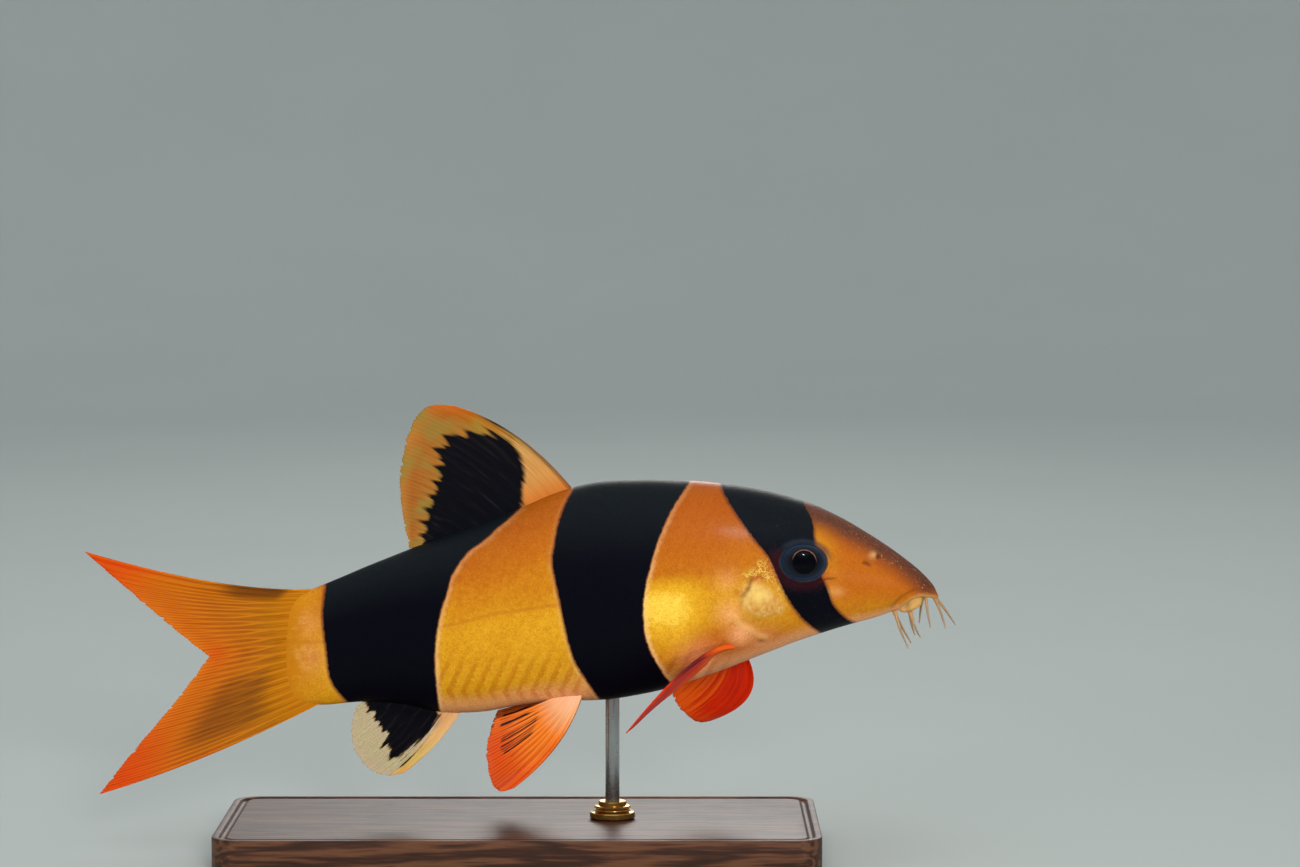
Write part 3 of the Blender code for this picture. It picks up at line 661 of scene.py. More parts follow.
def relief(point, normal):
    lift = 0.05 * noise.noise(point * 0.22)
    if point.x > 35.5:
        lift += head_relief(point, normal)
    if 28.0 < point.x < 43.0:
        lift += gill_relief(point)
    return lift


# %% [markdown]
# The colours between the bands change softly over the body: brown orange on the back, bright gold
# below the lateral line, pink on the belly and at the fins' roots, and a dusky ridge on the snout. The
# pink is made paler and wider on the belly as painted light from below. These are fields worked out at
# each point of the skin. A painter would spray them before the fine work.

# %% Soft fields of colour
LATERAL_LINE = [
    (31.0, 38.6), (25.2, 38.0), (16.9, 37.2), (5.8, 36.2), (-2.7, 34.9), (-9.7, 33.1), (-16.6, 32.0),
    (-23.7, 30.7), (-29.4, 30.1),
]
SNOUT_RIDGE = [
    (41.0, 49.6), (43.9, 48.4), (46.4, 47.1), (48.9, 45.6), (51.2, 44.1), (53.1, 42.8), (54.8, 41.5),
    (56.2, 40.3), (57.4, 38.9),
]
# The second place, above the near breast fin, is made stronger as painted light from below.
PINK_PLACES = [
    (31.0, 32.0, 1.8, 0.8), (25.4, 27.4, 3.0, 0.9), (34.2, 29.8, 2.4, 0.5), (9.0, 23.0, 2.6, 0.7),
    (3.0, 21.6, 2.4, 0.3), (19.6, 25.9, 1.5, 0.4), (29.4, 35.0, 1.8, 0.55), (29.0, 39.5, 1.6, 0.3),
    (-30.0, 32.6, 2.0, 0.25), (-29.6, 28.0, 2.2, 0.3),
]
RED_PLACES = [
    (30.4, 37.9, 0.5, 0.4), (-28.8, 34.4, 0.9, 0.22), (-28.6, 28.0, 1.0, 0.3), (-27.6, 24.6, 0.8, 0.15),
]


def lateral_height(x):
    line = LATERAL_LINE
    k = 0
    while k < len(line) - 2 and line[k + 1][0] > x:
        k += 1
    (x1, z1), (x2, z2) = line[k], line[k + 1]
    return z1 + (z2 - z1) * min(1.0, max(0.0, (x - x1) / (x2 - x1)))


def gold_field(x, z, share):
    """From 0 on the brown orange back to 1 where the flank shines like gold."""
    below = smooth_step(2.0, -2.4, z - lateral_height(x) - 1.6 * smooth_step(12.0, 18.0, x))
    upper = 0.10 + 0.34 * (1 - smooth_step(0.55, 0.95, share))
    front = smooth_step(12.0, 16.0, x)
    bright = 1.0 - 0.45 * smooth_step(21.5, 27.5, x) - 0.52 * smooth_step(36.0, 28.0, z)
    middle = 0.62 - 0.1 * smooth_step(26.0, 22.0, z)
    lower = middle + (bright - middle) * front
    field = upper - 0.12 * front + (lower - upper + 0.12 * front) * below
    field += (0.50 - field) * smooth_step(-26.0, -29.0, x)
    return field + (0.42 - field) * smooth_step(35.0, 40.0, x)


def ember_field(x, z):
    """The warm orange of the snout, the upper front flank and the root of the tail."""
    snout = smooth_step(41.0, 46.0, x) * smooth_step(34.0, 38.5, z)
    shoulder = 0.55 * hump(x - 25.0, 8.0) * smooth_step(40.0, 46.0, z)
    root = 0.12 * smooth_step(-27.0, -29.0, x) * smooth_step(-32.0, -29.0, x)
    return max(snout, shoulder, root)


def pink_and_underlight_field(x, z, share):
    # The belly's pink is widened and made paler as painted light from below.
    belly = 0.85 * smooth_step(0.15, 0.02, share) * smooth_step(-26.0, -18.0, x)
    spots = [strength * hump(math.hypot(x - px, z - pz), size) for px, pz, size, strength in PINK_PLACES]
    return min(1.0, max(belly, *spots))


def red_field(x, z, share):
    """The reddish skin round the eye, over the gill plate and beside the rear band."""
    red = max(strength * hump(math.hypot(x - px, z - pz), size) for px, pz, size, strength in RED_PLACES)
    if 31 < x < 36:
        red = max(red, 0.85 * slit(x, z, RED_CRESCENT, 0.22))
    if 33 < x < 46:
        below = smooth_step(0.6, -0.8, (x - EYE_X) * 0.5 + (z - EYE_Z))
        red = max(red, 0.5 * smooth_step(1.75, 1.12, share) * below)
    return red


def fleck_field(x, z):
    """Where thin flecks of gold leaf lie over the gill plate and beside the head's band."""
    if not 29 < x < 39:
        return 0.0
    near = 1 - smooth_step(0.6, 1.0, abs(z - 40.0) / 3.4)
    beside = 0.55 * hump(bands[0][0].ahead(x, z) + 0.5, 0.5) * near
    return max(beside, smooth_step(-0.5, 0.5, depth_inside(x, z, GOLD_FLECKS)))


def crease_shade_field(x, z, ahead):
    """Painted shade in the creases and pits: the gill's edge, the slit below the eye, the nostrils and the
    gap of the mouth.
    """
    if x < 28:
        return 0.0
    dark = 0.45 * hump(ahead + 0.1, 0.28) * (1 - smooth_step(0.2, 1.0, abs(z - 38.6) / 2.2))
    if 38 < x < 46:
        dark = max(dark, 0.7 * slit(x, z, SPINE_SLIT, 0.13))
    if 46 < x < 52:
        dark = max(dark, 0.6 * slit(x, z, REAR_NOSTRIL, 0.2))
        away = math.hypot(x - FRONT_NOSTRIL[0], z - FRONT_NOSTRIL[1])
        dark = max(dark, 0.55 * hump(away, 0.26))
    if x > 52:
        above = lip_height(x, z)
        dark = max(dark, 0.9 * hump(above + 0.16, 0.2) * smooth_step(53.6, 55.0, x))
        dark = max(dark, 0.3 * hump(above - 1.25, 0.25) * smooth_step(56.4, 54.6, x))
    dark = max(dark, 0.6 * hump(math.hypot(x - 33.8, (z - 30.9) * 2.4), 0.6))
    return dark


def pale_and_highlight_field(x, z):
    """Pale lines and places: the lips and the fold of the gill, and painted highlights on the cheek and the
    nostril's flap.
    """
    if x < 28:
        return 0.0
    pale = 0.0
    if x > 51.5:
        above = lip_height(x, z)
        edge_light = 0.55 + 0.35 * smooth_step(0.0, -0.3, above)
        pale = smooth_step(0.75, 0.25, above) * smooth_step(52.2, 54.0, x) * edge_light
    fold, _ = line_distance(x, z, GILL_FOLD)
    flap = math.hypot(x - NOSTRIL_FLAP[0], z - NOSTRIL_FLAP[1])
    # The nostril's flap and the cheek get painted highlights in this pale colour.
    pale = max(pale, 0.34 * hump(fold, 0.5), 0.45 * hump(flap, 0.5))
    pale = max(pale, 0.3 * hump(math.hypot((x - 44.2) / 1.2, (z - 37.7) / 0.7), 1.0))
    return pale


# %% [markdown]
# Now the sphere becomes the fish. Each of its points goes to its place on a section, keeps the fields of
# colour as attributes, and is pushed out or in by the relief. The points stand closer on the flanks, where
# the fine forms are, than on the back and the belly. The mouth is smoothed at the end, because the lips
# turn sharply there.

# %% The skin's mesh
FIELDS = (
    "band", "hem", "gold", "ember", "pink", "red", "dusk", "foil", "shine", "fleck", "crease_shade", "pale",
    "lateral", "orbit", "height",
)
FLANK_CROWDING = 0.24
MOUTH_START, MOUTH_TOP, MOUTH_PASSES = 52.5, 38.0, 3

bm = bmesh.new()
bmesh.ops.create_uvsphere(bm, u_segments=RING_SIDES, v_segments=RINGS, radius=1.0)
layers = {name: bm.verts.layers.float.new(name) for name in FIELDS}
tail_end = Vector((BODY[0][0] - 0.1, 0.0, (BODY[0][1] + BODY[0][2]) / 2))
for v in bm.verts:
    ring = round(math.acos(min(1.0, max(-1.0, v.co.z))) * RINGS / math.pi)
    angle = math.atan2(-v.co.y, v.co.x)
    angle += FLANK_CROWDING * math.sin(2 * angle)
    v.co = tail_end if ring == RINGS else section_point(stations[ring], angle)
    _, top, bottom, *_ = stations[min(ring, RINGS - 1)]
    v[layers["height"]] = (v.co.z - bottom) / max(top - bottom, 0.1)
bm.normal_update()
moves = []
for v in bm.verts:
    x, z, share = v.co.x, v.co.z, v[layers["height"]]
    ahead = gill_border.ahead(x, z)
    v[layers["band"]], v[layers["hem"]] = band_distance(x, z)
    v[layers["gold"]] = gold_field(x, z, share)
    v[layers["ember"]] = ember_field(x, z)
    v[layers["pink"]] = pink_and_underlight_field(x, z, share)
    v[layers["lateral"]] = z - lateral_height(x)
    v[layers["crease_shade"]] = crease_shade_field(x, z, ahead)
    v[layers["pale"]] = pale_and_highlight_field(x, z)
    v[layers["orbit"]] = eye_share(v.co) if x > 33 else 9.0
    v[layers["red"]] = red_field(x, z, v[layers["orbit"]])
    v[layers["fleck"]] = fleck_field(x, z)
    if x > 40:
        away, _ = line_distance(x, z, SNOUT_RIDGE)
        v[layers["dusk"]] = smooth_step(4.4, 0.0, away)
    if 29 < x < 40:
        v[layers["foil"]] = smooth_step(-0.35, 0.7, depth_inside(x, z, GILL_PLATE))
        # shine is a painted highlight, brightest at one place on the gill plate.
        v[layers["shine"]] = hump(math.hypot(x - PLATE_HIGHLIGHT_SPOT[0], 1.3 * (z - PLATE_HIGHLIGHT_SPOT[1])), 1.3)
    moves.append(v.normal * relief(v.co, v.normal))
for v, move in zip(bm.verts, moves):
    v.co += move
mouth = [v for v in bm.verts if v.co.x > MOUTH_START and v.co.z < MOUTH_TOP]
for _ in range(MOUTH_PASSES):
    bmesh.ops.smooth_vert(bm, verts=mouth, factor=0.35, use_axis_x=True, use_axis_y=True, use_axis_z=True)
print("skin points:", len(bm.verts), "smoothed at the mouth:", len(mouth))

# %% [markdown]
# The skin's paint is built in layers, as on the real fish. Gold and orange lie below, with the grain of
# scales too small to see one by one and the slanting marks of the muscles. Over them come the pink and
# dusky places, the belly's pink made paler as painted light from below, the pale hem and the black of
# the bands with a painted sheen on the back, the gill's crinkled foil with a painted highlight, painted
# highlights on the cheek and the nostril's flap, and painted shade in the creases.
# A satin coat over all stands for the slime that makes a live fish shine. Each cell below lays one coat
# and says how many nodes the paint has by then.

# %% A group for the fine grain of scales


def new_group(name, inputs, outputs):
    """An empty node group with its named sockets."""
    group = bpy.data.node_groups.new(name, "ShaderNodeTree")
    for label, kind, value in inputs:
        socket = group.interface.new_socket(name=label, in_out="INPUT", socket_type=kind)
        socket.default_value = value
    for label, kind in outputs:
        group.interface.new_socket(name=label, in_out="OUTPUT", socket_type=kind)
    return group, group.nodes.new("NodeGroupInput").outputs, group.nodes.new("NodeGroupOutput").inputs


def use_group(tree, group, **values):
    node = add(tree, "ShaderNodeGroup", node_tree=group)
    for label, value in values.items():
        put(tree, node.inputs[label.replace("_", " ")], value)
    return node.outputs


fine_grain, given, result = new_group(
    "fine_grain",
    [("Cells Per Millimetre", "NodeSocketFloat", 3.0), ("Mottle Size", "NodeSocketFloat", 1.0)],
    [("Grain", "NodeSocketFloat"), ("Mottle", "NodeSocketFloat"), ("Height", "NodeSocketFloat")],
)
place = in_millimetres(fine_grain)
cell_settings = {"Vector": place, "Scale": given[0], "Randomness": 0.8, "Smoothness": 0.35}
cells = add(fine_grain, "ShaderNodeTexVoronoi", cell_settings, feature="SMOOTH_F1").outputs
mottle = cloud(fine_grain, place, calc(fine_grain, "DIVIDE", 1.0, given[1]), detail=4.0, rough=0.6)
put(fine_grain, result[0], add(fine_grain, "ShaderNodeSeparateColor", {0: cells["Color"]}).outputs[0])
put(fine_grain, result[1], mottle)
put(fine_grain, result[2], calc(fine_grain, "SUBTRACT", 1.0, cells["Distance"], clamp=True))
print("group made:", fine_grain.name)

# %% The skin's material and what it reads
skin_paint, tree, shader = new_material(
    "loach_skin_paint", Coat_Roughness=0.25, Specular_IOR_Level=0.06, Subsurface_Weight=0.06,
    Subsurface_Scale=0.8 * MM, Subsurface_Radius=(1.0, 0.45, 0.2),
)
mask = {name: read(tree, name) for name in FIELDS}
grain = use_group(tree, fine_grain, Cells_Per_Millimetre=5.2, Mottle_Size=1.6)
place = in_millimetres(tree)
x, _, z = add(tree, "ShaderNodeSeparateXYZ", {0: place}).outputs
blotch = cloud(tree, place, 0.16, detail=3.0)
fine = cloud(tree, place, 1.4, detail=3.0, rough=0.65)
crinkle = cloud(tree, place, 0.9, detail=4.0, distortion=1.6)
print("fields that the skin's paint reads:", len(mask))

# %% Gold, orange and pink
FLANK_COLOURS = [
    (0.0, paint(168, 84, 14)), (0.3, paint(184, 106, 20)), (0.55, paint(204, 144, 24)),
    (0.8, paint(226, 172, 38)), (1.0, paint(252, 208, 76)),
]
# The pink is paler than the fish's own, as painted light from below.
EMBER, PINK = paint(178, 90, 16), paint(240, 170, 116)

tone = plus(tree, mask["gold"], scale_by(tree, fine, -0.16, 0.16), scale_by(tree, blotch, -0.14, 0.14))
colour = grade(tree, tone, FLANK_COLOURS)
colour = mix(tree, times(tree, mask["ember"], 0.85), colour, EMBER)
colour = mix(tree, mask["pink"], colour, PINK)
print("nodes so far:", len(tree.nodes))

# %% Marks of the muscles, the grain of scales and the lateral line
MUSCLE_SHADE, SCALE_SHADE, LINE_RED = paint(214, 158, 110), paint(170, 120, 60), paint(168, 80, 30)
MARK_FOLD, MARK_LEAN, MARK_GAP = 23.6, -0.44, 1.95

fold = calc(tree, "ABSOLUTE", calc(tree, "SUBTRACT", z, MARK_FOLD))
lean = plus(tree, x, times(tree, fold, MARK_LEAN), fine)
stripe = span(tree, calc(tree, "SINE", times(tree, lean, math.tau / MARK_GAP)), -0.3, 1.0)
low_flank = times(tree, span(tree, z, 30.5, 26.5), span(tree, z, 21.8, 23.2))
between = times(tree, span(tree, x, 33.0, 27.0), span(tree, x, -26.0, -22.0))
stripe_strength = times(tree, scale_by(tree, blotch, 0.3, 1.5), scale_by(tree, low_flank, 0.08, 0.50))
stripe_mask = times(tree, stripe, stripe_strength, between)
colour = mix(tree, stripe_mask, colour, MUSCLE_SHADE, "MULTIPLY")
colour = mix(tree, scale_by(tree, grain["Grain"], 0.0, 0.30), colour, SCALE_SHADE, "MULTIPLY")
near_line = calc(tree, "ABSOLUTE", plus(tree, mask["lateral"], scale_by(tree, fine, -0.25, 0.25)))
line_mask = times(tree, span(tree, near_line, 0.42, 0.05), 0.35, span(tree, x, 15.0, 8.0))
colour = mix(tree, line_mask, colour, LINE_RED)
print("nodes so far:", len(tree.nodes))

# %% Pale hems and rust beside the bands
HEM, RUST = paint(228, 186, 128), paint(96, 44, 26)

wobble = plus(tree, mask["band"], scale_by(tree, fine, -0.22, 0.22))
hem = times(tree, span(tree, wobble, -0.95, -0.25), mask["hem"])
hem = times(tree, hem, scale_by(tree, mask["height"], 1.15, 0.25), scale_by(tree, fine, 0.1, 1.1))
colour = mix(tree, hem, colour, HEM)
rust = span(tree, wobble, scale_by(tree, mask["hem"], -0.6, -0.25), -0.02)
colour = mix(tree, times(tree, rust, 0.85), colour, RUST)
print("nodes so far:", len(tree.nodes))

# %% The dusky ridge of the snout
DUSK, RIDGE, RIDGE_PEPPER = paint(138, 66, 22), paint(104, 58, 38), paint(70, 44, 38)

pepper = span(tree, cloud(tree, place, 2.6, detail=4.0, rough=0.75), 0.36, 0.66)
dusk = plus(tree, mask["dusk"], scale_by(tree, fine, -0.10, 0.10), scale_by(tree, blotch, -0.2, 0.2))
colour = mix(tree, times(tree, span(tree, dusk, 0.0, 0.5), 0.7), colour, DUSK)
ridge = mix(tree, pepper, RIDGE, RIDGE_PEPPER)
colour = mix(tree, times(tree, span(tree, dusk, 0.3, 0.95), 0.95), colour, ridge)
print("nodes so far:", len(tree.nodes))

# %% The gill's crinkled foil with a painted highlight, and its flecks of gold leaf
FOIL_SHADE, FOIL, FOIL_PAINTED_HIGHLIGHT = paint(198, 134, 58), paint(216, 176, 104), paint(246, 216, 124)
LEAF_GROUND, LEAF = paint(168, 112, 34), paint(226, 190, 92)

folds = plus(tree, times(tree, crinkle, 0.5), times(tree, fine, 0.5))
foil = mix(tree, span(tree, folds, 0.36, 0.62), FOIL_SHADE, FOIL)
# The plate's brightest place is a painted highlight.
foil = mix(tree, times(tree, mask["shine"], 0.75), foil, FOIL_PAINTED_HIGHLIGHT)
colour = mix(tree, times(tree, mask["foil"], 0.8), colour, foil)
veins = calc(tree, "SUBTRACT", cloud(tree, place, 1.7, detail=3.0, distortion=0.5), 0.53)
leaf = times(tree, span(tree, calc(tree, "ABSOLUTE", veins), 0.07, 0.01), scale_by(tree, fine, 0.3, 1.2))
colour = mix(tree, times(tree, mask["fleck"], 0.45), colour, LEAF_GROUND)
colour = mix(tree, times(tree, leaf, mask["fleck"]), colour, LEAF)
print("nodes so far:", len(tree.nodes))

# %% Red skin, pale lips, painted highlights on the cheek and the nostril's flap, and the golden root of the tail fin
RED_SKIN, PALE_FOLD_AND_HIGHLIGHT, PALE_LIP = paint(160, 66, 34), paint(232, 180, 116), paint(206, 160, 92)
ROOT_LIGHT, ROOT_DARK = paint(196, 124, 16), paint(168, 98, 8)

colour = mix(tree, mask["red"], colour, RED_SKIN)
# The painted highlights on the cheek and the nostril's flap take the gill fold's pale colour.
colour = mix(tree, mask["pale"], colour, mix(tree, span(tree, x, 51.0, 54.0), PALE_FOLD_AND_HIGHLIGHT, PALE_LIP))
ray_ends = cloud(tree, in_millimetres(tree, (0.22, 1.0, 1.0)), 1.5)
fin_root = span(tree, plus(tree, x, scale_by(tree, ray_ends, -4.0, 4.0)), -29.6, -32.6)
colour = mix(tree, fin_root, colour, mix(tree, ray_ends, ROOT_LIGHT, ROOT_DARK))
print("nodes so far:", len(tree.nodes))

# %% Specks, and the black of the bands with a painted sheen on the back
SPECK, BLACK_SPECK = paint(226, 156, 84), paint(44, 46, 56)
BLACK, BLACK_PAINTED_SHEEN, MAROON = paint(5, 5, 13), paint(20, 27, 30), paint(56, 18, 22)

speck = span(tree, grain["Grain"], 0.93, 0.99)
snout_specks = times(tree, speck, span(tree, x, 43.0, 48.0), scale_by(tree, mask["dusk"], 0.1, 0.6))
colour = mix(tree, snout_specks, colour, SPECK)
# A painted sheen: the black turns lighter and greener towards the back.
back_sheen = times(tree, span(tree, mask["height"], 0.62, 1.0), scale_by(tree, fine, 0.4, 1.0))
black = mix(tree, back_sheen, BLACK, BLACK_PAINTED_SHEEN)
black = mix(tree, times(tree, mask["red"], scale_by(tree, fine, 0.5, 1.5)), black, MAROON)
black = mix(tree, times(tree, speck, span(tree, x, 30.0, 36.0), 0.35), black, BLACK_SPECK)
colour = mix(tree, span(tree, wobble, -0.12, 0.12), colour, black)
print("nodes so far:", len(tree.nodes))

# %% Lids, and painted shade in the creases
LID_DARK, LID_LIGHT, PAINTED_CREASE_SHADE = paint(18, 22, 30), paint(52, 60, 72), paint(60, 24, 18)

above_eye = span(tree, plus(tree, z, times(tree, x, 0.25)), 52.3, 54.3)
lid = times(tree, span(tree, mask["orbit"], 1.34, 1.10), 0.75, above_eye)
lid = calc(tree, "MAXIMUM", lid, span(tree, mask["orbit"], 1.06, 1.0))
colour = mix(tree, times(tree, lid, 0.85), colour, mix(tree, fine, LID_DARK, LID_LIGHT))
# Painted shade darkens the creases, the pits of the nostrils and the gap of the mouth.
colour = mix(tree, mask["crease_shade"], colour, PAINTED_CREASE_SHADE)
put(tree, shader.inputs["Base Color"], colour)
print("nodes so far:", len(tree.nodes))

# %% Shine and fine relief of the skin
shine = times(tree, calc(tree, "MAXIMUM", mask["foil"], mask["fleck"]), 0.12)
glint = times(tree, span(tree, mask["gold"], 0.6, 1.0), scale_by(tree, grain["Grain"], 0.0, 0.25))
clear = calc(tree, "SUBTRACT", 1.0, span(tree, wobble, -0.3, 0.1))
put(tree, shader.inputs["Metallic"], times(tree, calc(tree, "MAXIMUM", shine, glint), clear))
put(tree, shader.inputs["Coat Weight"], scale_by(tree, clear, 0.0, 0.1))
put(tree, shader.inputs["Roughness"], scale_by(tree, grain["Mottle"], 0.38, 0.56))
height = plus(tree, times(tree, grain["Height"], 0.5), times(tree, fine, 0.6))
height = calc(tree, "SUBTRACT", height, times(tree, stripe_mask, 0.7))
height = plus(tree, height, times(tree, crinkle, mask["foil"], 3.0))
bumped(tree, shader, height, 0.03)
print("nodes in the whole paint:", len(tree.nodes))

# %% The finished skin
skin = finished("loach_skin", bm, skin_paint)
placed(skin, "skin", "head", "trunk", "tail_stem")

# %% [markdown]
# An eye is a wet ball that shows only its cap. The photo shows a round black pupil with a thin copper
# line over it, a dark iris and a blue grey rim, longer than it is high. A ball turned so that its pole
# looks out of the head keeps two distances as attributes: one from the pole as a share of the outline,
# for the rim, and one in pupil radii. A thin clear coat gives the cornea's one small light.

# %% The eye's paint
EYE_RINGS = [
    (0.0, paint(7, 8, 14)), (0.56, paint(13, 15, 22)), (0.70, paint(21, 25, 33)), (0.82, paint(27, 34, 46)),
    (0.91, paint(38, 58, 84)), (0.97, paint(13, 17, 27)),
]
PUPIL_BLACK, COPPER = paint(1, 1, 5), paint(150, 104, 84)

eye_paint, tree, shader = new_material(
    "eye_paint", Roughness=0.3, Specular_IOR_Level=0.02, Coat_Weight=0.16, Coat_Roughness=0.03
)
streak = cloud(tree, in_millimetres(tree), 4.0, detail=3.0)
pupil = read(tree, "pupil")
rings = grade(tree, plus(tree, read(tree, "ring"), scale_by(tree, streak, -0.012, 0.012)), EYE_RINGS)
rings = mix(tree, span(tree, pupil, 0.99, 0.95), rings, PUPIL_BLACK)
copper_line = span(tree, calc(tree, "ABSOLUTE", calc(tree, "SUBTRACT", pupil, 0.99)), 0.055, 0.015)
copper = times(tree, copper_line, read(tree, "upper"), scale_by(tree, streak, 0.2, 1.0))
put(tree, shader.inputs["Base Color"], mix(tree, copper, rings, COPPER))
bumped(tree, shader, streak, 0.01)
print("rings of the eye:", len(EYE_RINGS))

# %% Eyeballs
outward_up = Matrix.Rotation(-math.pi / 2, 3, "X")
for side, word in SIDES:
    bm = bmesh.new()
    bmesh.ops.create_uvsphere(bm, u_segments=96, v_segments=64, radius=1.0)
    ring_layer = bm.verts.layers.float.new("ring")
    upper_layer = bm.verts.layers.float.new("upper")
    pupil_layer = bm.verts.layers.float.new("pupil")
    for v in bm.verts:
        across = outward_up @ v.co
        v[ring_layer] = math.hypot(v.co.x, v.co.y) if v.co.z > 0 else 1.0
        v[upper_layer] = smooth_step(0.0, 0.4, side * across.z + 0.15 * across.x)
        local = Vector((across.x * EYE_HALF_LENGTH, across.y * EYE_HALF_DEPTH, across.z * EYE_HALF_HEIGHT))
        v[pupil_layer] = math.hypot(local.x, local.z) / PUPIL_RADIUS if v.co.z > 0 else 2.0
        v.co = eye_centres[side] + eye_turns[side] @ local
    if side < 0:
        bmesh.ops.reverse_faces(bm, faces=bm.faces)
    bmesh.ops.recalc_face_normals(bm, faces=bm.faces)
    placed(finished(f"eyeball_{word}", bm, eye_paint), "eye", f"eye_{word}")

# %% [markdown]
# A fin is a thin sheet between rays that branch towards the margin. It starts as a flat grid with
# several columns for each ray, which is laid between the fin's root and its margin, the two curves
# that the solid uses. Solidify then gives it thickness, thick along each ray and thin between, so that
# the rays stand up on both faces. The grid's own rows and columns also say where each colour goes.

# %% The form of a fin
PER_RAY = 18
MEMBRANE, RAY, LEADING_RAY, ROOT, MARGIN_MEMBRANE, MARGIN_RAY = 0.21, 0.29, 0.66, 0.80, 0.10, 0.125
ROOT_SUNK = 1.4
FIN_FIELDS = ("ray", "reach", "across", "patch", "dusk", "glow")


def even_curve(points, count):
    """Places at even steps along a smooth curve."""
    steps = 40 * (len(points) - 1)
    line = [Vector(spline(points, k * (len(points) - 1) / steps)) for k in range(steps + 1)]
    lengths = [0.0]
    for a, b in zip(line, line[1:]):
        lengths.append(lengths[-1] + (b - a).length)
    found, k = [], 0
    for step in range(count + 1):
        wanted = lengths[-1] * step / count
        while k < steps - 1 and lengths[k + 1] < wanted:
            k += 1
        found.append(line[k].lerp(line[k + 1], (wanted - lengths[k]) / (lengths[k + 1] - lengths[k])))
    return found


def ray_ridge(phase, reach, branches):
    """The height of a ray, from 0 to 1, where phase runs from -0.5 to 0.5 across it."""
    first = 0.25 * smooth_step(0.22, 0.5, reach) * branches
    second = 0.115 * smooth_step(0.55, 0.85, reach) * branches
    width = 0.13 - 0.065 * smooth_step(0.2, 0.9, reach) * branches
    return max(hump(phase - a * first - b * second, width) for a in (-1, 1) for b in (-1, 1))


def margin_wear(place, reach, ridge):
    """How far the margin is worn back: a little between the rays, and more here and there."""
    worn = 0.12 * (1 - ridge) + 0.22 * noise.noise(Vector((place * 1.3, 0.0, 5.0)))
    worn += 0.42 * smooth_step(0.2, 0.55, noise.noise(Vector((place * 3.1, 4.0, 5.0))))
    return worn * smooth_step(0.82, 1.0, reach) * smooth_step(0.6, 2.0, place)


def web_thickness(place, reach, ridge, lead):
    """Thick at the root and along the first ray, and thin between the rays and at the margin."""
    full = RAY + (LEADING_RAY - RAY) * hump(place, 2 * lead)
    body = MEMBRANE + (full - MEMBRANE) * ridge
    edge = MARGIN_MEMBRANE + (MARGIN_RAY - MARGIN_MEMBRANE) * ridge
    body += (edge - body) * smooth_step(0.25, 1.0, reach)
    return body + (ROOT - body) * (1 - smooth_step(0.06, 0.26, reach))


def thickened(sheet, thickness):
    """The sheet with its own thickness at each point, by a solidify that is applied."""
    most = max(thickness)
    share = sheet.vertex_groups.new(name="thickness")
    for index, value in enumerate(thickness):
        share.add([index], value / most, "REPLACE")
    wall = sheet.modifiers.new("wall", "SOLIDIFY")
    wall.thickness = most * MM
    wall.offset = 0.0
    wall.vertex_group = share.name
    bpy.context.view_layer.update()
    graph = bpy.context.evaluated_depsgraph_get()
    mesh = bpy.data.meshes.new_from_object(sheet.evaluated_get(graph))
    sheet.modifiers.clear()
    sheet.data = mesh
    sheet.vertex_groups.clear()
    mesh.shade_smooth()
    return sheet


# %% A fin's web


def fin(name, material, base, margin, rays, rows, lead_bow, rear_bow, wave, marks, fork=False, lead_width=0.3,
        lead_taper=0.0):
    """A fin's sheet. marks(across, reach, point, place) says how deep in a dark patch, how dusky, how red."""
    columns = (rays - 1) * PER_RAY
    roots, tips = even_curve(base, columns), even_curve(margin, columns)
    bm = bmesh.new()
    bmesh.ops.create_grid(bm, x_segments=columns, y_segments=rows, size=0.5)
    layer = {label: bm.verts.layers.float.new(label) for label in FIN_FIELDS}
    thickness = []
    for v in bm.verts:
        across, reach = v.co.x + 0.5, v.co.y + 0.5
        column = round(across * columns)
        place = across * (rays - 1)
        index = round(place)
        branches = 0.0 if index == 0 else smooth_step(0, 2, index)
        lead = lead_width * (1 - lead_taper * reach)
        ridge = max(ray_ridge(place - index, reach, branches), smooth_step(lead * 1.6, lead * 0.7, place))
        bow = Vector(lead_bow).lerp(Vector(rear_bow), across)
        if fork:
            bow = Vector(lead_bow if across < 0.5 else rear_bow) * abs(2 * across - 1) ** 1.5
        point = roots[column].lerp(tips[column], reach) + bow * (4 * reach * (1 - reach))
        point -= (tips[column] - roots[column]).normalized() * margin_wear(place, reach, ridge)
        ripple = wave * math.sin(math.tau * 1.5 * across) * reach
        ripple += 0.10 * noise.noise(Vector((place * 0.6, reach * 2.0, 9.0))) * reach
        v.co = point + Vector((0, ripple, 0))
        thickness.append(web_thickness(place, reach, ridge, lead))
        for label, value in zip(FIN_FIELDS, (ridge, reach, across, *marks(across, reach, v.co, place))):
            v[layer[label]] = value
    return thickened(finished(name, bm, material), thickness)


# %% [markdown]
# One group draws what all fins share: rays that are lighter than the membrane, and fine streaks that
# run along them. Each fin's material then mixes its own colours over that, from the root to the margin,
# with a red glow, dusky places and the black patch where it has one. The membrane lets some light by.

# %% A group for the streaks along the rays


def web_place(tree, across_scale, reach_scale):
    """A place on the web, stretched so that noise runs along the rays."""
    across = times(tree, read(tree, "across"), across_scale)
    reach = times(tree, read(tree, "reach"), reach_scale)
    return add(tree, "ShaderNodeCombineXYZ", {0: across, 1: reach}).outputs[0]


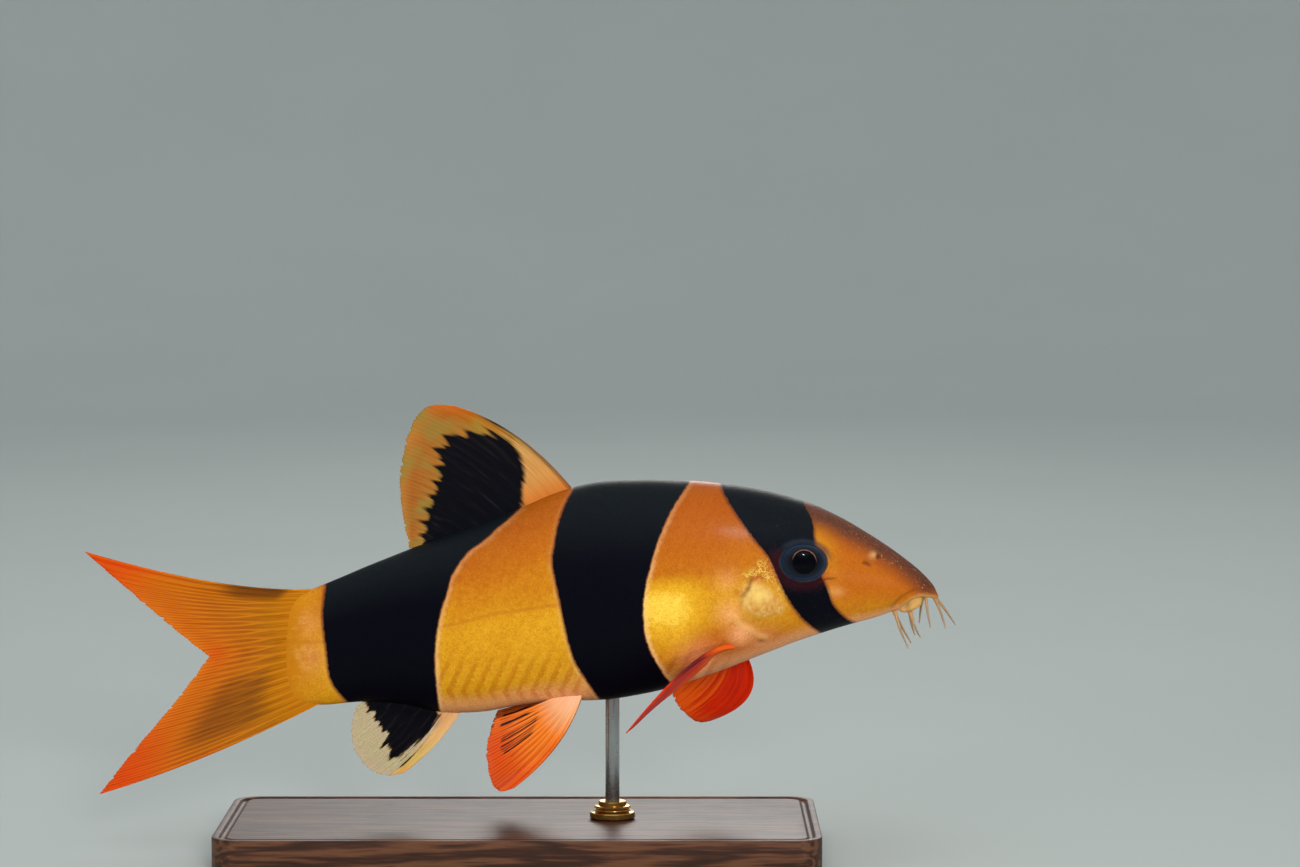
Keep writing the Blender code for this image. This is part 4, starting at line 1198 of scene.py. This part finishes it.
ray_streaks, given, result = new_group(
    "ray_streaks",
    [("Streaks Across", "NodeSocketFloat", 60.0), ("Ray Light", "NodeSocketFloat", 0.5)],
    [("Streak", "NodeSocketFloat"), ("Light", "NodeSocketFloat"), ("Height", "NodeSocketFloat")],
)
streak = cloud(ray_streaks, web_place(ray_streaks, given[0], 3.0), 1.0, detail=3.0, rough=0.6)
ray_light = times(ray_streaks, read(ray_streaks, "ray"), given[1], span(ray_streaks, streak, 0.2, 0.6))
joint_settings = {"Vector": web_place(ray_streaks, 14.0, 34.0), "Scale": 1.0}
ray_joints = add(ray_streaks, "ShaderNodeTexVoronoi", joint_settings).outputs["Distance"]
joint_rise = times(ray_streaks, ray_joints, 0.3)
put(ray_streaks, result[0], streak)
put(ray_streaks, result[1], ray_light)
put(ray_streaks, result[2], plus(ray_streaks, times(ray_streaks, streak, 0.6), joint_rise))
print("group made:", ray_streaks.name)

# %% A fin's material
STREAK_SHADE, PATCH_BLACK, PATCH_WORN = paint(190, 140, 90), paint(3, 3, 9), paint(88, 76, 66)


def fin_paint(name, stops, ray_colour, glow_colour, dusk_colour, clear=0.85, ray_light=0.5, streaks=60.0,
              patch_softness=0.25, alpha_rays=1.0, streak_depth=0.35, tint=None):
    """stops are colours from root to margin, and clear is the membrane's alpha."""
    made, tree, shader = new_material(
        name, Roughness=0.5, Specular_IOR_Level=0.1, Coat_Weight=0.04, Coat_Roughness=0.25,
        Subsurface_Weight=0.08, Subsurface_Scale=1.0 * MM, Subsurface_Radius=(1.0, 0.5, 0.25),
    )
    mask = {label: read(tree, label) for label in FIN_FIELDS}
    streak, light, height = use_group(tree, ray_streaks, Streaks_Across=streaks, Ray_Light=ray_light)
    colour = grade(tree, plus(tree, mask["reach"], scale_by(tree, streak, -0.10, 0.10)), stops)
    glow = span(tree, plus(tree, mask["glow"], scale_by(tree, streak, -0.3, 0.3)), 0.05, 0.95)
    colour = mix(tree, glow, colour, glow_colour)
    colour = mix(tree, span(tree, streak, 0.35, 0.7, 0.0, streak_depth), colour, STREAK_SHADE, "MULTIPLY")
    colour = mix(tree, times(tree, light, scale_by(tree, glow, 1.0, 0.5)), colour, ray_colour)
    if tint is not None:
        spot = plus(tree, cloud(tree, in_millimetres(tree), 0.22), scale_by(tree, streak, -0.12, 0.12))
        spot = times(tree, span(tree, spot, 0.42, 0.60), span(tree, mask["reach"], 0.35, 0.6), 0.75)
        colour = mix(tree, spot, colour, tint)
    dusk = span(tree, plus(tree, mask["dusk"], scale_by(tree, streak, -0.25, 0.25)), 0.15, 0.85)
    colour = mix(tree, times(tree, dusk, 0.9), colour, dusk_colour)
    patch = plus(tree, mask["patch"], scale_by(tree, streak, -0.9, 0.9))
    patch = span(tree, patch, -patch_softness, patch_softness)
    worn = times(tree, mask["ray"], span(tree, streak, 0.45, 0.75), 0.15)
    colour = mix(tree, patch, colour, mix(tree, worn, PATCH_BLACK, PATCH_WORN))
    put(tree, shader.inputs["Base Color"], colour)
    solid = calc(tree, "MAXIMUM", times(tree, mask["ray"], alpha_rays), patch)
    solid = calc(tree, "MAXIMUM", solid, span(tree, mask["reach"], 0.35, 0.1))
    solid = calc(tree, "MAXIMUM", solid, span(tree, mask["across"], 0.16, 0.12))
    thin = times(tree, calc(tree, "SUBTRACT", 1.0, solid, clamp=True), 1.0 - clear)
    put(tree, shader.inputs["Alpha"], calc(tree, "SUBTRACT", 1.0, thin))
    bumped(tree, shader, height, 0.03)
    return made


# %% [markdown]
# The back fin stands up over the front of the rear band. Its front edge is a thin dark line, then comes
# orange, a cream streak, and a black patch whose far edge is torn into teeth along the rays. The margin is
# thin and olive in places, and its top is red. The patch is an outline in the side view, and the depth of
# a point inside it, shaken a little from ray to ray, gives the teeth.

# %% The lines and the patch of the back fin


def back_line(x):
    return (x, 0.0, station_at(x)[1] - ROOT_SUNK)


def belly_line(x):
    return (x, 0.0, station_at(x)[2] + ROOT_SUNK)


def shake(place, salt):
    """A steady random number from -1 to 1 that changes from ray to ray."""
    return 2 * noise.cell(Vector((math.floor(place) + 0.5, salt, 0.5))) - 1


DORSAL_PATCH = [
    (0.6, 47.0), (0.3, 50.2), (0.8, 53.9), (0.1, 56.6), (-1.3, 58.6), (-3.8, 60.2), (-7.0, 60.5),
    (-9.8, 59.5), (-11.2, 57.0), (-11.9, 54.2), (-12.5, 51.4), (-13.1, 48.6), (-13.5, 45.8), (-14.0, 42.0),
    (0.6, 40.0), (0.6, 47.0),
]


def dorsal_marks(across, reach, point, place):
    fingers = 0.6 * math.cos(math.tau * place) + 0.25 * math.cos(2 * math.tau * place)
    fingers += 0.45 * shake(place + 0.5, 1.0)
    patch = depth_inside(point.x, point.z, DORSAL_PATCH) + 0.1 + fingers * smooth_step(0.4, 0.7, reach)
    fade = smooth_step(-4.0, 0.0, point.x) * smooth_step(0.5, -1.2, patch)
    edge = 0.6 * smooth_step(0.5, 0.1, place) * smooth_step(1.0, 0.7, reach)
    top_glow = 0.5 * smooth_step(0.34, 0.1, across) * smooth_step(0.65, 1.0, reach)
    front_glow = 0.14 * smooth_step(-2.0, 4.0, point.x) * smooth_step(0.4, 0.1, reach)
    return patch - 0.5 * fade, edge, max(top_glow, front_glow)


# %% The back fin
dorsal_paint = fin_paint(
    "dorsal_paint",
    [
        (0.0, paint(190, 96, 12)), (0.2, paint(196, 142, 76)), (0.42, paint(190, 146, 84)),
        (0.6, paint(160, 110, 34)), (0.85, paint(158, 88, 14)), (0.97, paint(176, 112, 36)),
    ],
    ray_colour=paint(176, 122, 48), glow_colour=paint(190, 66, 6), dusk_colour=paint(66, 28, 28),
    clear=0.78, ray_light=0.22, patch_softness=0.55, alpha_rays=0.5, tint=paint(140, 116, 44),
)
dorsal = fin(
    "dorsal_fin_web", dorsal_paint,
    base=[back_line(x) for x in (8.2, 1.4, -5.4, -12.6)],
    margin=[
        (-9.2, 0, 63.3), (-12.6, 0, 63.3), (-14.9, 0, 61.2), (-16.2, 0, 57.4), (-16.9, 0, 53.2),
        (-16.5, 0, 48.0), (-15.6, 0, 43.2),
    ],
    rays=12, rows=74, lead_bow=(0.5, 0, 1.8), rear_bow=(0, 0, 0.3), wave=0.25, marks=dorsal_marks,
)
placed(dorsal, "fin", "dorsal_fin")

# %% [markdown]
# The anal fin hangs below the rear band. Its first ray is a thick peach coloured rod, the band's black
# runs down behind it in a torn patch, and the rear part is clear and yellowish.

# %% The anal fin
ANAL_PATCH = [
    (-12.6, 24.0), (-12.9, 21.4), (-11.6, 19.6), (-13.2, 17.0), (-15.4, 14.4), (-16.9, 12.7), (-18.4, 12.8),
    (-19.1, 14.4), (-19.4, 17.2), (-20.3, 19.4), (-21.6, 21.2), (-22.0, 24.0), (-12.6, 24.0),
]


def anal_marks(across, reach, point, place):
    teeth = 0.3 * math.cos(math.tau * place) + 0.3 * shake(place * 2.0, 3.0) + 0.2 * shake(place * 4.0, 4.0)
    patch = depth_inside(point.x, point.z, ANAL_PATCH) + 0.3 + teeth * smooth_step(0.3, 0.6, reach)
    rod_edge = 0.8 * (1 - 0.4 * reach)
    patch -= 4.0 * smooth_step(rod_edge + 0.12, rod_edge - 0.12, place)
    return patch, 0.0, 0.5 * smooth_step(1.0, 0.5, place) * smooth_step(0.6, 1.0, reach)


anal_paint = fin_paint(
    "anal_paint",
    [
        (0.0, paint(216, 158, 110)), (0.4, paint(210, 166, 104)), (0.8, paint(186, 166, 84)),
        (1.0, paint(196, 162, 96)),
    ],
    ray_colour=paint(222, 178, 126), glow_colour=paint(216, 126, 54), dusk_colour=paint(80, 40, 40),
    clear=0.3, ray_light=0.3, streaks=44.0, alpha_rays=0.25,
)
anal = fin(
    "anal_fin_web", anal_paint,
    base=[belly_line(x) for x in (-7.6, -12.0, -16.3, -20.5)],
    margin=[
        (-16.4, 0, 11.4), (-19.2, 0, 11.0), (-21.9, 0, 12.4), (-23.5, 0, 15.0), (-23.9, 0, 17.8),
        (-23.3, 0, 20.6),
    ],
    rays=8, rows=56, lead_bow=(0.5, 0, -0.5), rear_bow=(0, 0, 0), wave=0.2, marks=anal_marks,
    lead_width=0.55, lead_taper=0.4,
)
placed(anal, "fin", "anal_fin")

# %% [markdown]
# The tail fin is one web with two lobes. The solid parts it at the fork, but here one sheet runs from
# the upper tip round the fork to the lower tip, so no line shows. Long parallel rays cross its golden
# root, its tips are red, and both the upper edge and the lower lobe have brown streaks.

# %% The tail fin


def caudal_marks(across, reach, point, place):
    upper, lower = 1 - across, across
    top_tip = smooth_step(-47.0, -62.0, point.x) * smooth_step(0.45, 0.9, upper)
    low_tip = smooth_step(-43.0, -59.0, point.x) * smooth_step(0.45, 0.85, lower)
    tips = max(top_tip, low_tip) + 0.35 * smooth_step(0.9, 1.0, upper) * smooth_step(0.45, 0.7, reach)
    fork = 0.5 * hump(math.hypot(point.x + 43.0, point.z - 28.2), 2.2)
    rim = 0.4 * smooth_step(0.93, 1.0, lower) * smooth_step(0.25, 0.5, reach)
    edge_brown = smooth_step(0.80, 0.93, upper)
    edge_brown *= smooth_step(0.14, 0.24, reach) * smooth_step(0.62, 0.4, reach)
    lobe_brown = smooth_step(0.50, 0.68, lower) * smooth_step(0.99, 0.86, lower)
    lobe_brown *= smooth_step(0.06, 0.34, reach) * smooth_step(0.92, 0.55, reach)
    return -5.0, max(0.75 * edge_brown, 0.56 * lobe_brown), max(tips, fork, rim)


caudal_paint = fin_paint(
    "caudal_paint",
    [
        (0.0, paint(180, 112, 10)), (0.22, paint(168, 104, 3)), (0.55, paint(170, 92, 2)),
        (0.85, paint(184, 84, 3)), (1.0, paint(204, 100, 14)),
    ],
    ray_colour=paint(214, 132, 26), glow_colour=paint(204, 58, 2), dusk_colour=paint(92, 46, 6),
    clear=0.88, ray_light=0.5, streaks=130.0, streak_depth=0.6,
)
caudal = fin(
    "caudal_fin_web", caudal_paint,
    base=[
        (-27.2, 0, 37.6), (-31.2, 0, 34.8), (-31.4, 0, 32.0), (-31.3, 0, 28.8), (-31.2, 0, 26.0),
        (-31.0, 0, 23.4), (-27.0, 0, 21.9),
    ],
    margin=[
        (-61.3, 0, 42.8), (-55.9, 0, 38.0), (-48.9, 0, 31.9), (-44.6, 0, 28.5), (-43.9, 0, 27.85),
        (-44.4, 0, 27.2), (-48.6, 0, 21.6), (-55.0, 0, 14.0), (-59.5, 0, 8.3),
    ],
    rays=20, rows=84, lead_bow=(2.2, 0, -1.9), rear_bow=(-0.4, 0, -1.1), wave=0.0, marks=caudal_marks,
    fork=True,
)
placed(caudal, "fin", "caudal_fin_upper", "caudal_fin_lower")

# %% [markdown]
# The belly fins fan back from short roots beside the midline. They are pinkish white at the root, with
# fine black streaks in the middle, and turn orange and then red at the tip.

# %% The belly fins
PELVIC_PATCH = [
    (-3.0, 19.8), (0.0, 20.6), (3.0, 20.8), (2.6, 18.6), (1.2, 16.0), (-0.9, 13.8), (-2.8, 15.2),
    (-3.0, 19.8),
]


def pelvic_marks(across, reach, point, place):
    streaks = min(0.5, depth_inside(point.x, point.z, PELVIC_PATCH)) - 0.42 + 0.3 * shake(place * 9.0, 6.0)
    glow = 0.85 * smooth_step(0.5, 0.95, reach) * smooth_step(1.1, 0.6, across)
    return streaks, 0.0, max(glow, 0.6 * smooth_step(0.3, 0.0, across) * smooth_step(0.2, 0.6, reach))


pelvic_paint = fin_paint(
    "pelvic_paint",
    [
        (0.0, paint(236, 186, 156)), (0.22, paint(236, 172, 124)), (0.42, paint(228, 118, 30)),
        (0.8, paint(208, 82, 4)), (1.0, paint(210, 84, 8)),
    ],
    ray_colour=paint(236, 146, 60), glow_colour=paint(200, 60, 3), dusk_colour=paint(80, 40, 40),
    clear=0.8, ray_light=0.4, streaks=70.0,
)
for side, word, spread in ((-1, "right", 4.6), (1, "left", 5.4)):
    y = side * 2.6
    base = [(8.9, y + side * 0.5, 23.2), (7.6, y + side * 0.2, 23.1), (6.2, y - side * 0.2, 23.0)]
    margin = [
        (-0.6, y + side * spread, 10.4), (-2.9, y + side * spread, 9.9),
        (-4.2, y + side * spread * 0.95, 12.4), (-4.5, y + side * spread * 0.75, 16.4),
        (-3.4, y + side * spread * 0.4, 19.6),
    ]
    web = fin(
        f"pelvic_fin_web_{word}", pelvic_paint, base, margin, rays=8, rows=56, lead_bow=(1.3, 0, -0.5),
        rear_bow=(0, 0, -0.2), wave=0.2, marks=pelvic_marks,
    )
    placed(web, "fin", f"pelvic_fin_{word}")

# %% [markdown]
# The breast fins are the reddest of all. The near one is held out almost edge on, with a dark upper
# edge, and the far one hangs down and forwards like an open fan with a brighter front edge.

# %% The breast fins


def right_pectoral_marks(across, reach, point, place):
    dark = 0.8 * smooth_step(0.16, 0.04, across) * hump(reach - 0.5, 0.22)
    return -5.0, dark, smooth_step(0.15, 0.55, reach) * (1 - 0.55 * smooth_step(0.45, 0.9, across))


def left_pectoral_marks(across, reach, point, place):
    front = smooth_step(0.75, 0.12, across + 0.12 * shake(place * 5.0, 8.0))
    front *= 1 - 0.4 * smooth_step(0.78, 1.0, reach)
    rear = 0.25 * smooth_step(0.8, 0.3, reach) * across
    return -5.0, 0.0, max(front, rear, 0.35 * smooth_step(0.85, 1.0, reach))


pectoral_paint = fin_paint(
    "pectoral_paint",
    [
        (0.0, paint(232, 92, 20)), (0.4, paint(220, 86, 14)), (0.7, paint(222, 84, 10)),
        (1.0, paint(236, 92, 20)),
    ],
    ray_colour=paint(236, 104, 26), glow_colour=paint(204, 32, 4), dusk_colour=paint(64, 16, 26),
    clear=0.9, ray_light=0.2, streaks=44.0,
)
PECTORALS = {
    "right": {
        "roots": ((0.9, 1.1, 0.2), (-0.3, 1.3, 0.0), (-1.6, 1.5, -0.5)),
        "margin": [
            (15.0, -15.6, 19.2), (16.3, -13.4, 20.0), (18.1, -11.0, 21.4), (20.2, -8.8, 22.9),
            (22.4, -7.0, 24.3),
        ],
        "bows": ((1.2, -2.2, 3.6), (0, 0.1, -0.1)),
        "marks": right_pectoral_marks,
    },
    "left": {
        "roots": ((1.0, -1.0, -0.3), (-0.3, -1.2, -0.4), (-1.5, -1.4, -0.8)),
        "margin": [
            (26.9, 13.6, 16.9), (25.2, 12.6, 16.9), (23.4, 11.4, 18.2), (22.0, 10.2, 20.0), (21.2, 9.2, 22.2),
        ],
        "bows": ((4.0, 1.2, -1.4), (-0.3, 0, 0.3)),
        "marks": left_pectoral_marks,
    },
}
for side, word in SIDES:
    form = PECTORALS[word]
    root = flank(29.8, 29.9, side)
    web = fin(
        f"pectoral_fin_web_{word}", pectoral_paint, base=[root + Vector(move) for move in form["roots"]],
        margin=form["margin"], rays=8, rows=60, lead_bow=form["bows"][0], rear_bow=form["bows"][1], wave=0.0,
        marks=form["marks"],
    )
    placed(web, "fin", f"pectoral_fin_{word}")

# %% [markdown]
# Eight barbels hang round the mouth: soft tapered feelers with a swollen root. A small circle is
# extruded step by step along each line, turned to follow it and shrunk towards the tip.

# %% The barbels' paint
FEELER_COLOURS = [
    (0.0, paint(196, 144, 84)), (0.3, paint(168, 134, 94)), (0.7, paint(146, 124, 96)),
    (1.0, paint(160, 140, 114)),
]
barbel_paint, tree, shader = new_material(
    "barbel_paint", Roughness=0.4, Coat_Weight=0.15, Coat_Roughness=0.2,
    Subsurface_Weight=0.3, Subsurface_Scale=0.6 * MM, Subsurface_Radius=(1.0, 0.5, 0.3),
)
grain = use_group(tree, fine_grain, Cells_Per_Millimetre=6.0, Mottle_Size=0.5)
along = plus(tree, read(tree, "along"), scale_by(tree, grain["Mottle"], -0.15, 0.15))
put(tree, shader.inputs["Base Color"], grade(tree, along, FEELER_COLOURS))
bumped(tree, shader, grain["Mottle"], 0.02)
print("colours of a feeler:", len(FEELER_COLOURS))

# %% Barbels
BARBELS = [
    ("barbel_snout_inner", (58.0, 0.65, 36.9), (59.1, 1.3, 34.4), (59.8, 1.9, 32.1), 1.7),
    ("barbel_snout_outer", (57.0, 1.45, 36.9), (57.2, 2.4, 34.6), (57.6, 2.9, 32.3), -1.2),
    ("barbel_mouth_corner", (52.7, 1.35, 34.4), (53.4, 2.6, 32.0), (54.5, 3.4, 29.4), 0.8),
    ("barbel_chin", (54.9, 0.85, 34.3), (55.5, 1.2, 32.4), (56.3, 1.5, 30.7), -0.6),
]
BARBEL_STEPS, BARBEL_SIDES = 36, 16
BLUNT_TIP = 0.55


def barbel_radius(along):
    swelling = 0.10 * hump(along, 0.12)
    return 0.29 - 0.20 * along ** 0.8 + swelling


def barbel(line):
    """A tapered feeler round a line: a disc that is extruded from place to place and turned to follow it."""
    bm = bmesh.new()
    along_layer = bm.verts.layers.float.new("along")
    bmesh.ops.create_circle(bm, cap_ends=True, segments=BARBEL_SIDES, radius=1.0)
    face = bm.faces[:][0]
    radius = 1.0
    last = Vector((0, 0, 0))
    heading = Vector((0, 0, 1))
    for step, point in enumerate(line):
        along = step / (len(line) - 1)
        if step:
            face = bmesh.ops.extrude_discrete_faces(bm, faces=[face])["faces"][0]
        ring = list(face.verts)
        ahead = (line[min(step + 1, len(line) - 1)] - line[max(step - 1, 0)]).normalized()
        turn = heading.rotation_difference(ahead).to_matrix()
        bmesh.ops.rotate(bm, verts=ring, cent=last, matrix=turn)
        bmesh.ops.translate(bm, verts=ring, vec=point - last)
        wanted = barbel_radius(along) * (BLUNT_TIP if step == len(line) - 1 else 1.0)
        for v in ring:
            v.co = point + (v.co - point) * (wanted / radius)
            v[along_layer] = along
        radius, last, heading = wanted, point, ahead
    return bm


for stem, root, middle, tip, swing in BARBELS:
    for side, word in SIDES:
        forward = swing if side > 0 else 0.0
        points = []
        for share, (x, y, z) in zip((0.0, 0.5, 1.0), (root, middle, tip)):
            points.append((x + forward * share, side * y, z))
        bm = barbel([Vector(spline(points, 2 * k / BARBEL_STEPS)) for k in range(BARBEL_STEPS + 1)])
        bmesh.ops.remove_doubles(bm, verts=bm.verts, dist=0.0005)
        bmesh.ops.recalc_face_normals(bm, faces=bm.faces)
        placed(finished(f"{stem}_feeler_{word}", bm, barbel_paint), "barbel", f"{stem}_{word}")

# %% [markdown]
# The stand is plain: a low block of dark oiled wood, satin, with a moulded edge, a turned brass collar,
# and one steel rod that goes up into the belly. The block starts as a cube with bevelled corners, its
# top is inset and sunk for the moulding, and the collar's profile is spun.

# %% Wood
WOOD_COLOURS = [(0.0, paint(46, 26, 17)), (0.45, paint(68, 40, 26)), (1.0, paint(92, 58, 38))]
PORE_COLOUR = paint(28, 15, 10)
YEAR_RINGS = 34.0

walnut, tree, shader = new_material("walnut", Specular_IOR_Level=0.3, Coat_Weight=0.1, Coat_Roughness=0.3)
figure = cloud(tree, in_millimetres(tree, (0.06, 1.0, 1.0)), 0.35, detail=4.0, rough=0.6)
pores = cloud(tree, in_millimetres(tree, (0.18, 3.0, 3.0)), 1.4, rough=0.7)
figure = plus(tree, figure, scale_by(tree, pores, 0.0, 0.03))
wood_bands = plus(tree, times(tree, calc(tree, "SINE", times(tree, figure, YEAR_RINGS)), 0.5), 0.5)
pore_mask = span(tree, pores, 0.62, 0.72)
wood_colour = mix(tree, times(tree, pore_mask, 0.7), grade(tree, wood_bands, WOOD_COLOURS), PORE_COLOUR)
put(tree, shader.inputs["Base Color"], wood_colour)
put(tree, shader.inputs["Roughness"], scale_by(tree, pores, 0.5, 0.66))
bumped(tree, shader, calc(tree, "SUBTRACT", 1.0, pore_mask), 0.03)
print("nodes in the wood:", len(tree.nodes))

# %% The base
BASE_LENGTH, BASE_DEPTH, BASE_HEIGHT = 84.0, 40.0, 5.0
BASE_CORNER = 4.0
MOULDING = ((0.9, 0.0), (0.35, -0.45), (0.5, 0.0), (0.3, 0.35))

bm = bmesh.new()
bmesh.ops.create_cube(bm, size=1.0)
bmesh.ops.scale(bm, vec=(BASE_LENGTH, BASE_DEPTH, BASE_HEIGHT), verts=bm.verts)
bmesh.ops.translate(bm, vec=(0, 0, BASE_HEIGHT / 2), verts=bm.verts)
upright = [e for e in bm.edges if abs(e.verts[0].co.z - e.verts[1].co.z) > 1]
bmesh.ops.bevel(bm, geom=upright, offset=BASE_CORNER, segments=12, profile=0.5, material=-1, affect="EDGES")
top = [max(bm.faces, key=lambda face: face.calc_center_median().z)]
for inset, drop in MOULDING:
    bmesh.ops.inset_region(bm, faces=top, thickness=inset, depth=drop)
rim = [e for e in bm.edges if len(e.link_faces) == 2 and e.calc_face_angle(0) > 0.35]
rim = [e for e in rim if min(v.co.z for v in e.verts) > BASE_HEIGHT - 0.8]
bmesh.ops.bevel(
    bm, geom=rim, offset=0.14, segments=3, profile=0.5, material=-1, affect="EDGES", clamp_overlap=True
)
foot = [e for e in bm.edges if max(v.co.z for v in e.verts) < 0.01]
foot = [e for e in foot if len(e.link_faces) == 2 and e.calc_face_angle(0) > 0.5]
bmesh.ops.bevel(bm, geom=foot, offset=0.25, segments=2, profile=0.5, material=-1, affect="EDGES")
base = finished("stand_base_block", bm, walnut)
base.data.set_sharp_from_angle(angle=math.radians(40))
placed(base, "stand_wood", "stand_base")

# %% [markdown]
# Turned brass and drawn steel both carry fine lines round them, left by the tool. They show as haze in
# the shine and as a very slight relief. One group makes both, so each metal has only its own two tones,
# its own spacing of lines and its own gloss.

# %% A group for turned and drawn metal
turned, given, result = new_group(
    "turned_metal",
    [("Lines Per Millimetre", "NodeSocketFloat", 6.0), ("Spread", "NodeSocketFloat", 0.1)],
    [("Roughness Change", "NodeSocketFloat"), ("Height", "NodeSocketFloat")],
)
lines = cloud(turned, in_millimetres(turned, (0.02, 0.02, 1.0)), given[0], detail=3.0, rough=0.7)
haze = cloud(turned, in_millimetres(turned), 0.8, detail=3.0)
put(turned, result[0], times(turned, plus(turned, lines, haze), given[1]))
put(turned, result[1], lines)
print("group made:", turned.name)

# %% Brass and steel


def metal(name, light, dark, patch_scale, lines_per_mm, spread, gloss, relief):
    """A metal of two near tones, with the tool's fine lines round it."""
    made, tree, shader = new_material(name, Metallic=1.0)
    change, height = use_group(tree, turned, Lines_Per_Millimetre=lines_per_mm, Spread=spread)
    patches = cloud(tree, in_millimetres(tree), patch_scale)
    put(tree, shader.inputs["Base Color"], mix(tree, patches, light, dark))
    put(tree, shader.inputs["Roughness"], plus(tree, change, gloss))
    bumped(tree, shader, height, relief)
    return made


brass = metal(
    "brass", paint(206, 160, 84), paint(182, 134, 66), patch_scale=0.5, lines_per_mm=7.0, spread=0.14,
    gloss=0.12, relief=0.008,
)
steel = metal(
    "steel", paint(192, 192, 190), paint(168, 168, 168), patch_scale=0.3, lines_per_mm=3.0, spread=0.12,
    gloss=0.14, relief=0.005,
)

# %% [markdown]
# The collar is turned on a lathe: a foot, a cove, a bead and a neck, all in one profile that is spun
# round the rod's line. The rod is a drawn bar with broken edges. It goes a little way into the belly, as
# a real one would be glued.

# %% The collar
ROD_X, ROD_RADIUS = 13.0, 1.0
COLLAR_RADIUS, COLLAR_HEIGHT = 3.2, 2.4
COVE_STEPS, COVE_DEPTH = 10, 0.42
TOUCH = 0.02

foot_z, bore = BASE_HEIGHT + TOUCH, ROD_RADIUS + TOUCH
bead, neck, lip = COLLAR_RADIUS * 0.78, COLLAR_RADIUS * 0.62, COLLAR_RADIUS * 0.58
profile = [(COLLAR_RADIUS - 0.15, 0.0), (COLLAR_RADIUS, 0.15)]
profile += [(COLLAR_RADIUS, 0.75), (COLLAR_RADIUS - 0.12, 0.9)]
for k in range(1, COVE_STEPS):
    cove = COVE_DEPTH * math.sin(math.pi * k / COVE_STEPS)
    profile.append((COLLAR_RADIUS * 0.86 - cove, 0.9 + 0.7 * k / COVE_STEPS))
profile += [(bead, 1.62), (bead, 1.78), (neck, 1.9), (neck, COLLAR_HEIGHT - 0.15)]
profile += [(lip, COLLAR_HEIGHT), (bore, COLLAR_HEIGHT), (bore, 0.0)]
bm = bmesh.new()
ring = [bm.verts.new((ROD_X + r, 0, foot_z + z)) for r, z in profile]
edges = [bm.edges.new(pair) for pair in zip(ring, ring[1:] + ring[:1])]
bmesh.ops.spin(
    bm, geom=ring + edges, cent=(ROD_X, 0, 0), axis=(0, 0, 1), angle=math.tau, steps=ROUND_STEPS,
    use_merge=True,
)
bmesh.ops.recalc_face_normals(bm, faces=bm.faces)
collar = finished("stand_collar_turned", bm, brass)
collar.data.set_sharp_from_angle(angle=math.radians(30))
placed(collar, "stand_brass", "stand_collar")

# %% The rod
ROD_SUNK = 2.5

bottom, top = foot_z, station_at(ROD_X)[2] + ROD_SUNK
bm = bmesh.new()
bmesh.ops.create_cone(
    bm, cap_ends=True, segments=64, radius1=ROD_RADIUS, radius2=ROD_RADIUS, depth=top - bottom
)
bmesh.ops.translate(bm, vec=(ROD_X, 0, (top + bottom) / 2), verts=bm.verts)
ends = [e for e in bm.edges if abs(e.verts[0].co.z - e.verts[1].co.z) < 0.01]
bmesh.ops.bevel(bm, geom=ends, offset=0.12, segments=3, profile=0.5, material=-1, affect="EDGES")
rod = finished("stand_rod_polished", bm, steel)
rod.data.set_sharp_from_angle(angle=math.radians(40))
placed(rod, "stand_steel", "stand_rod")
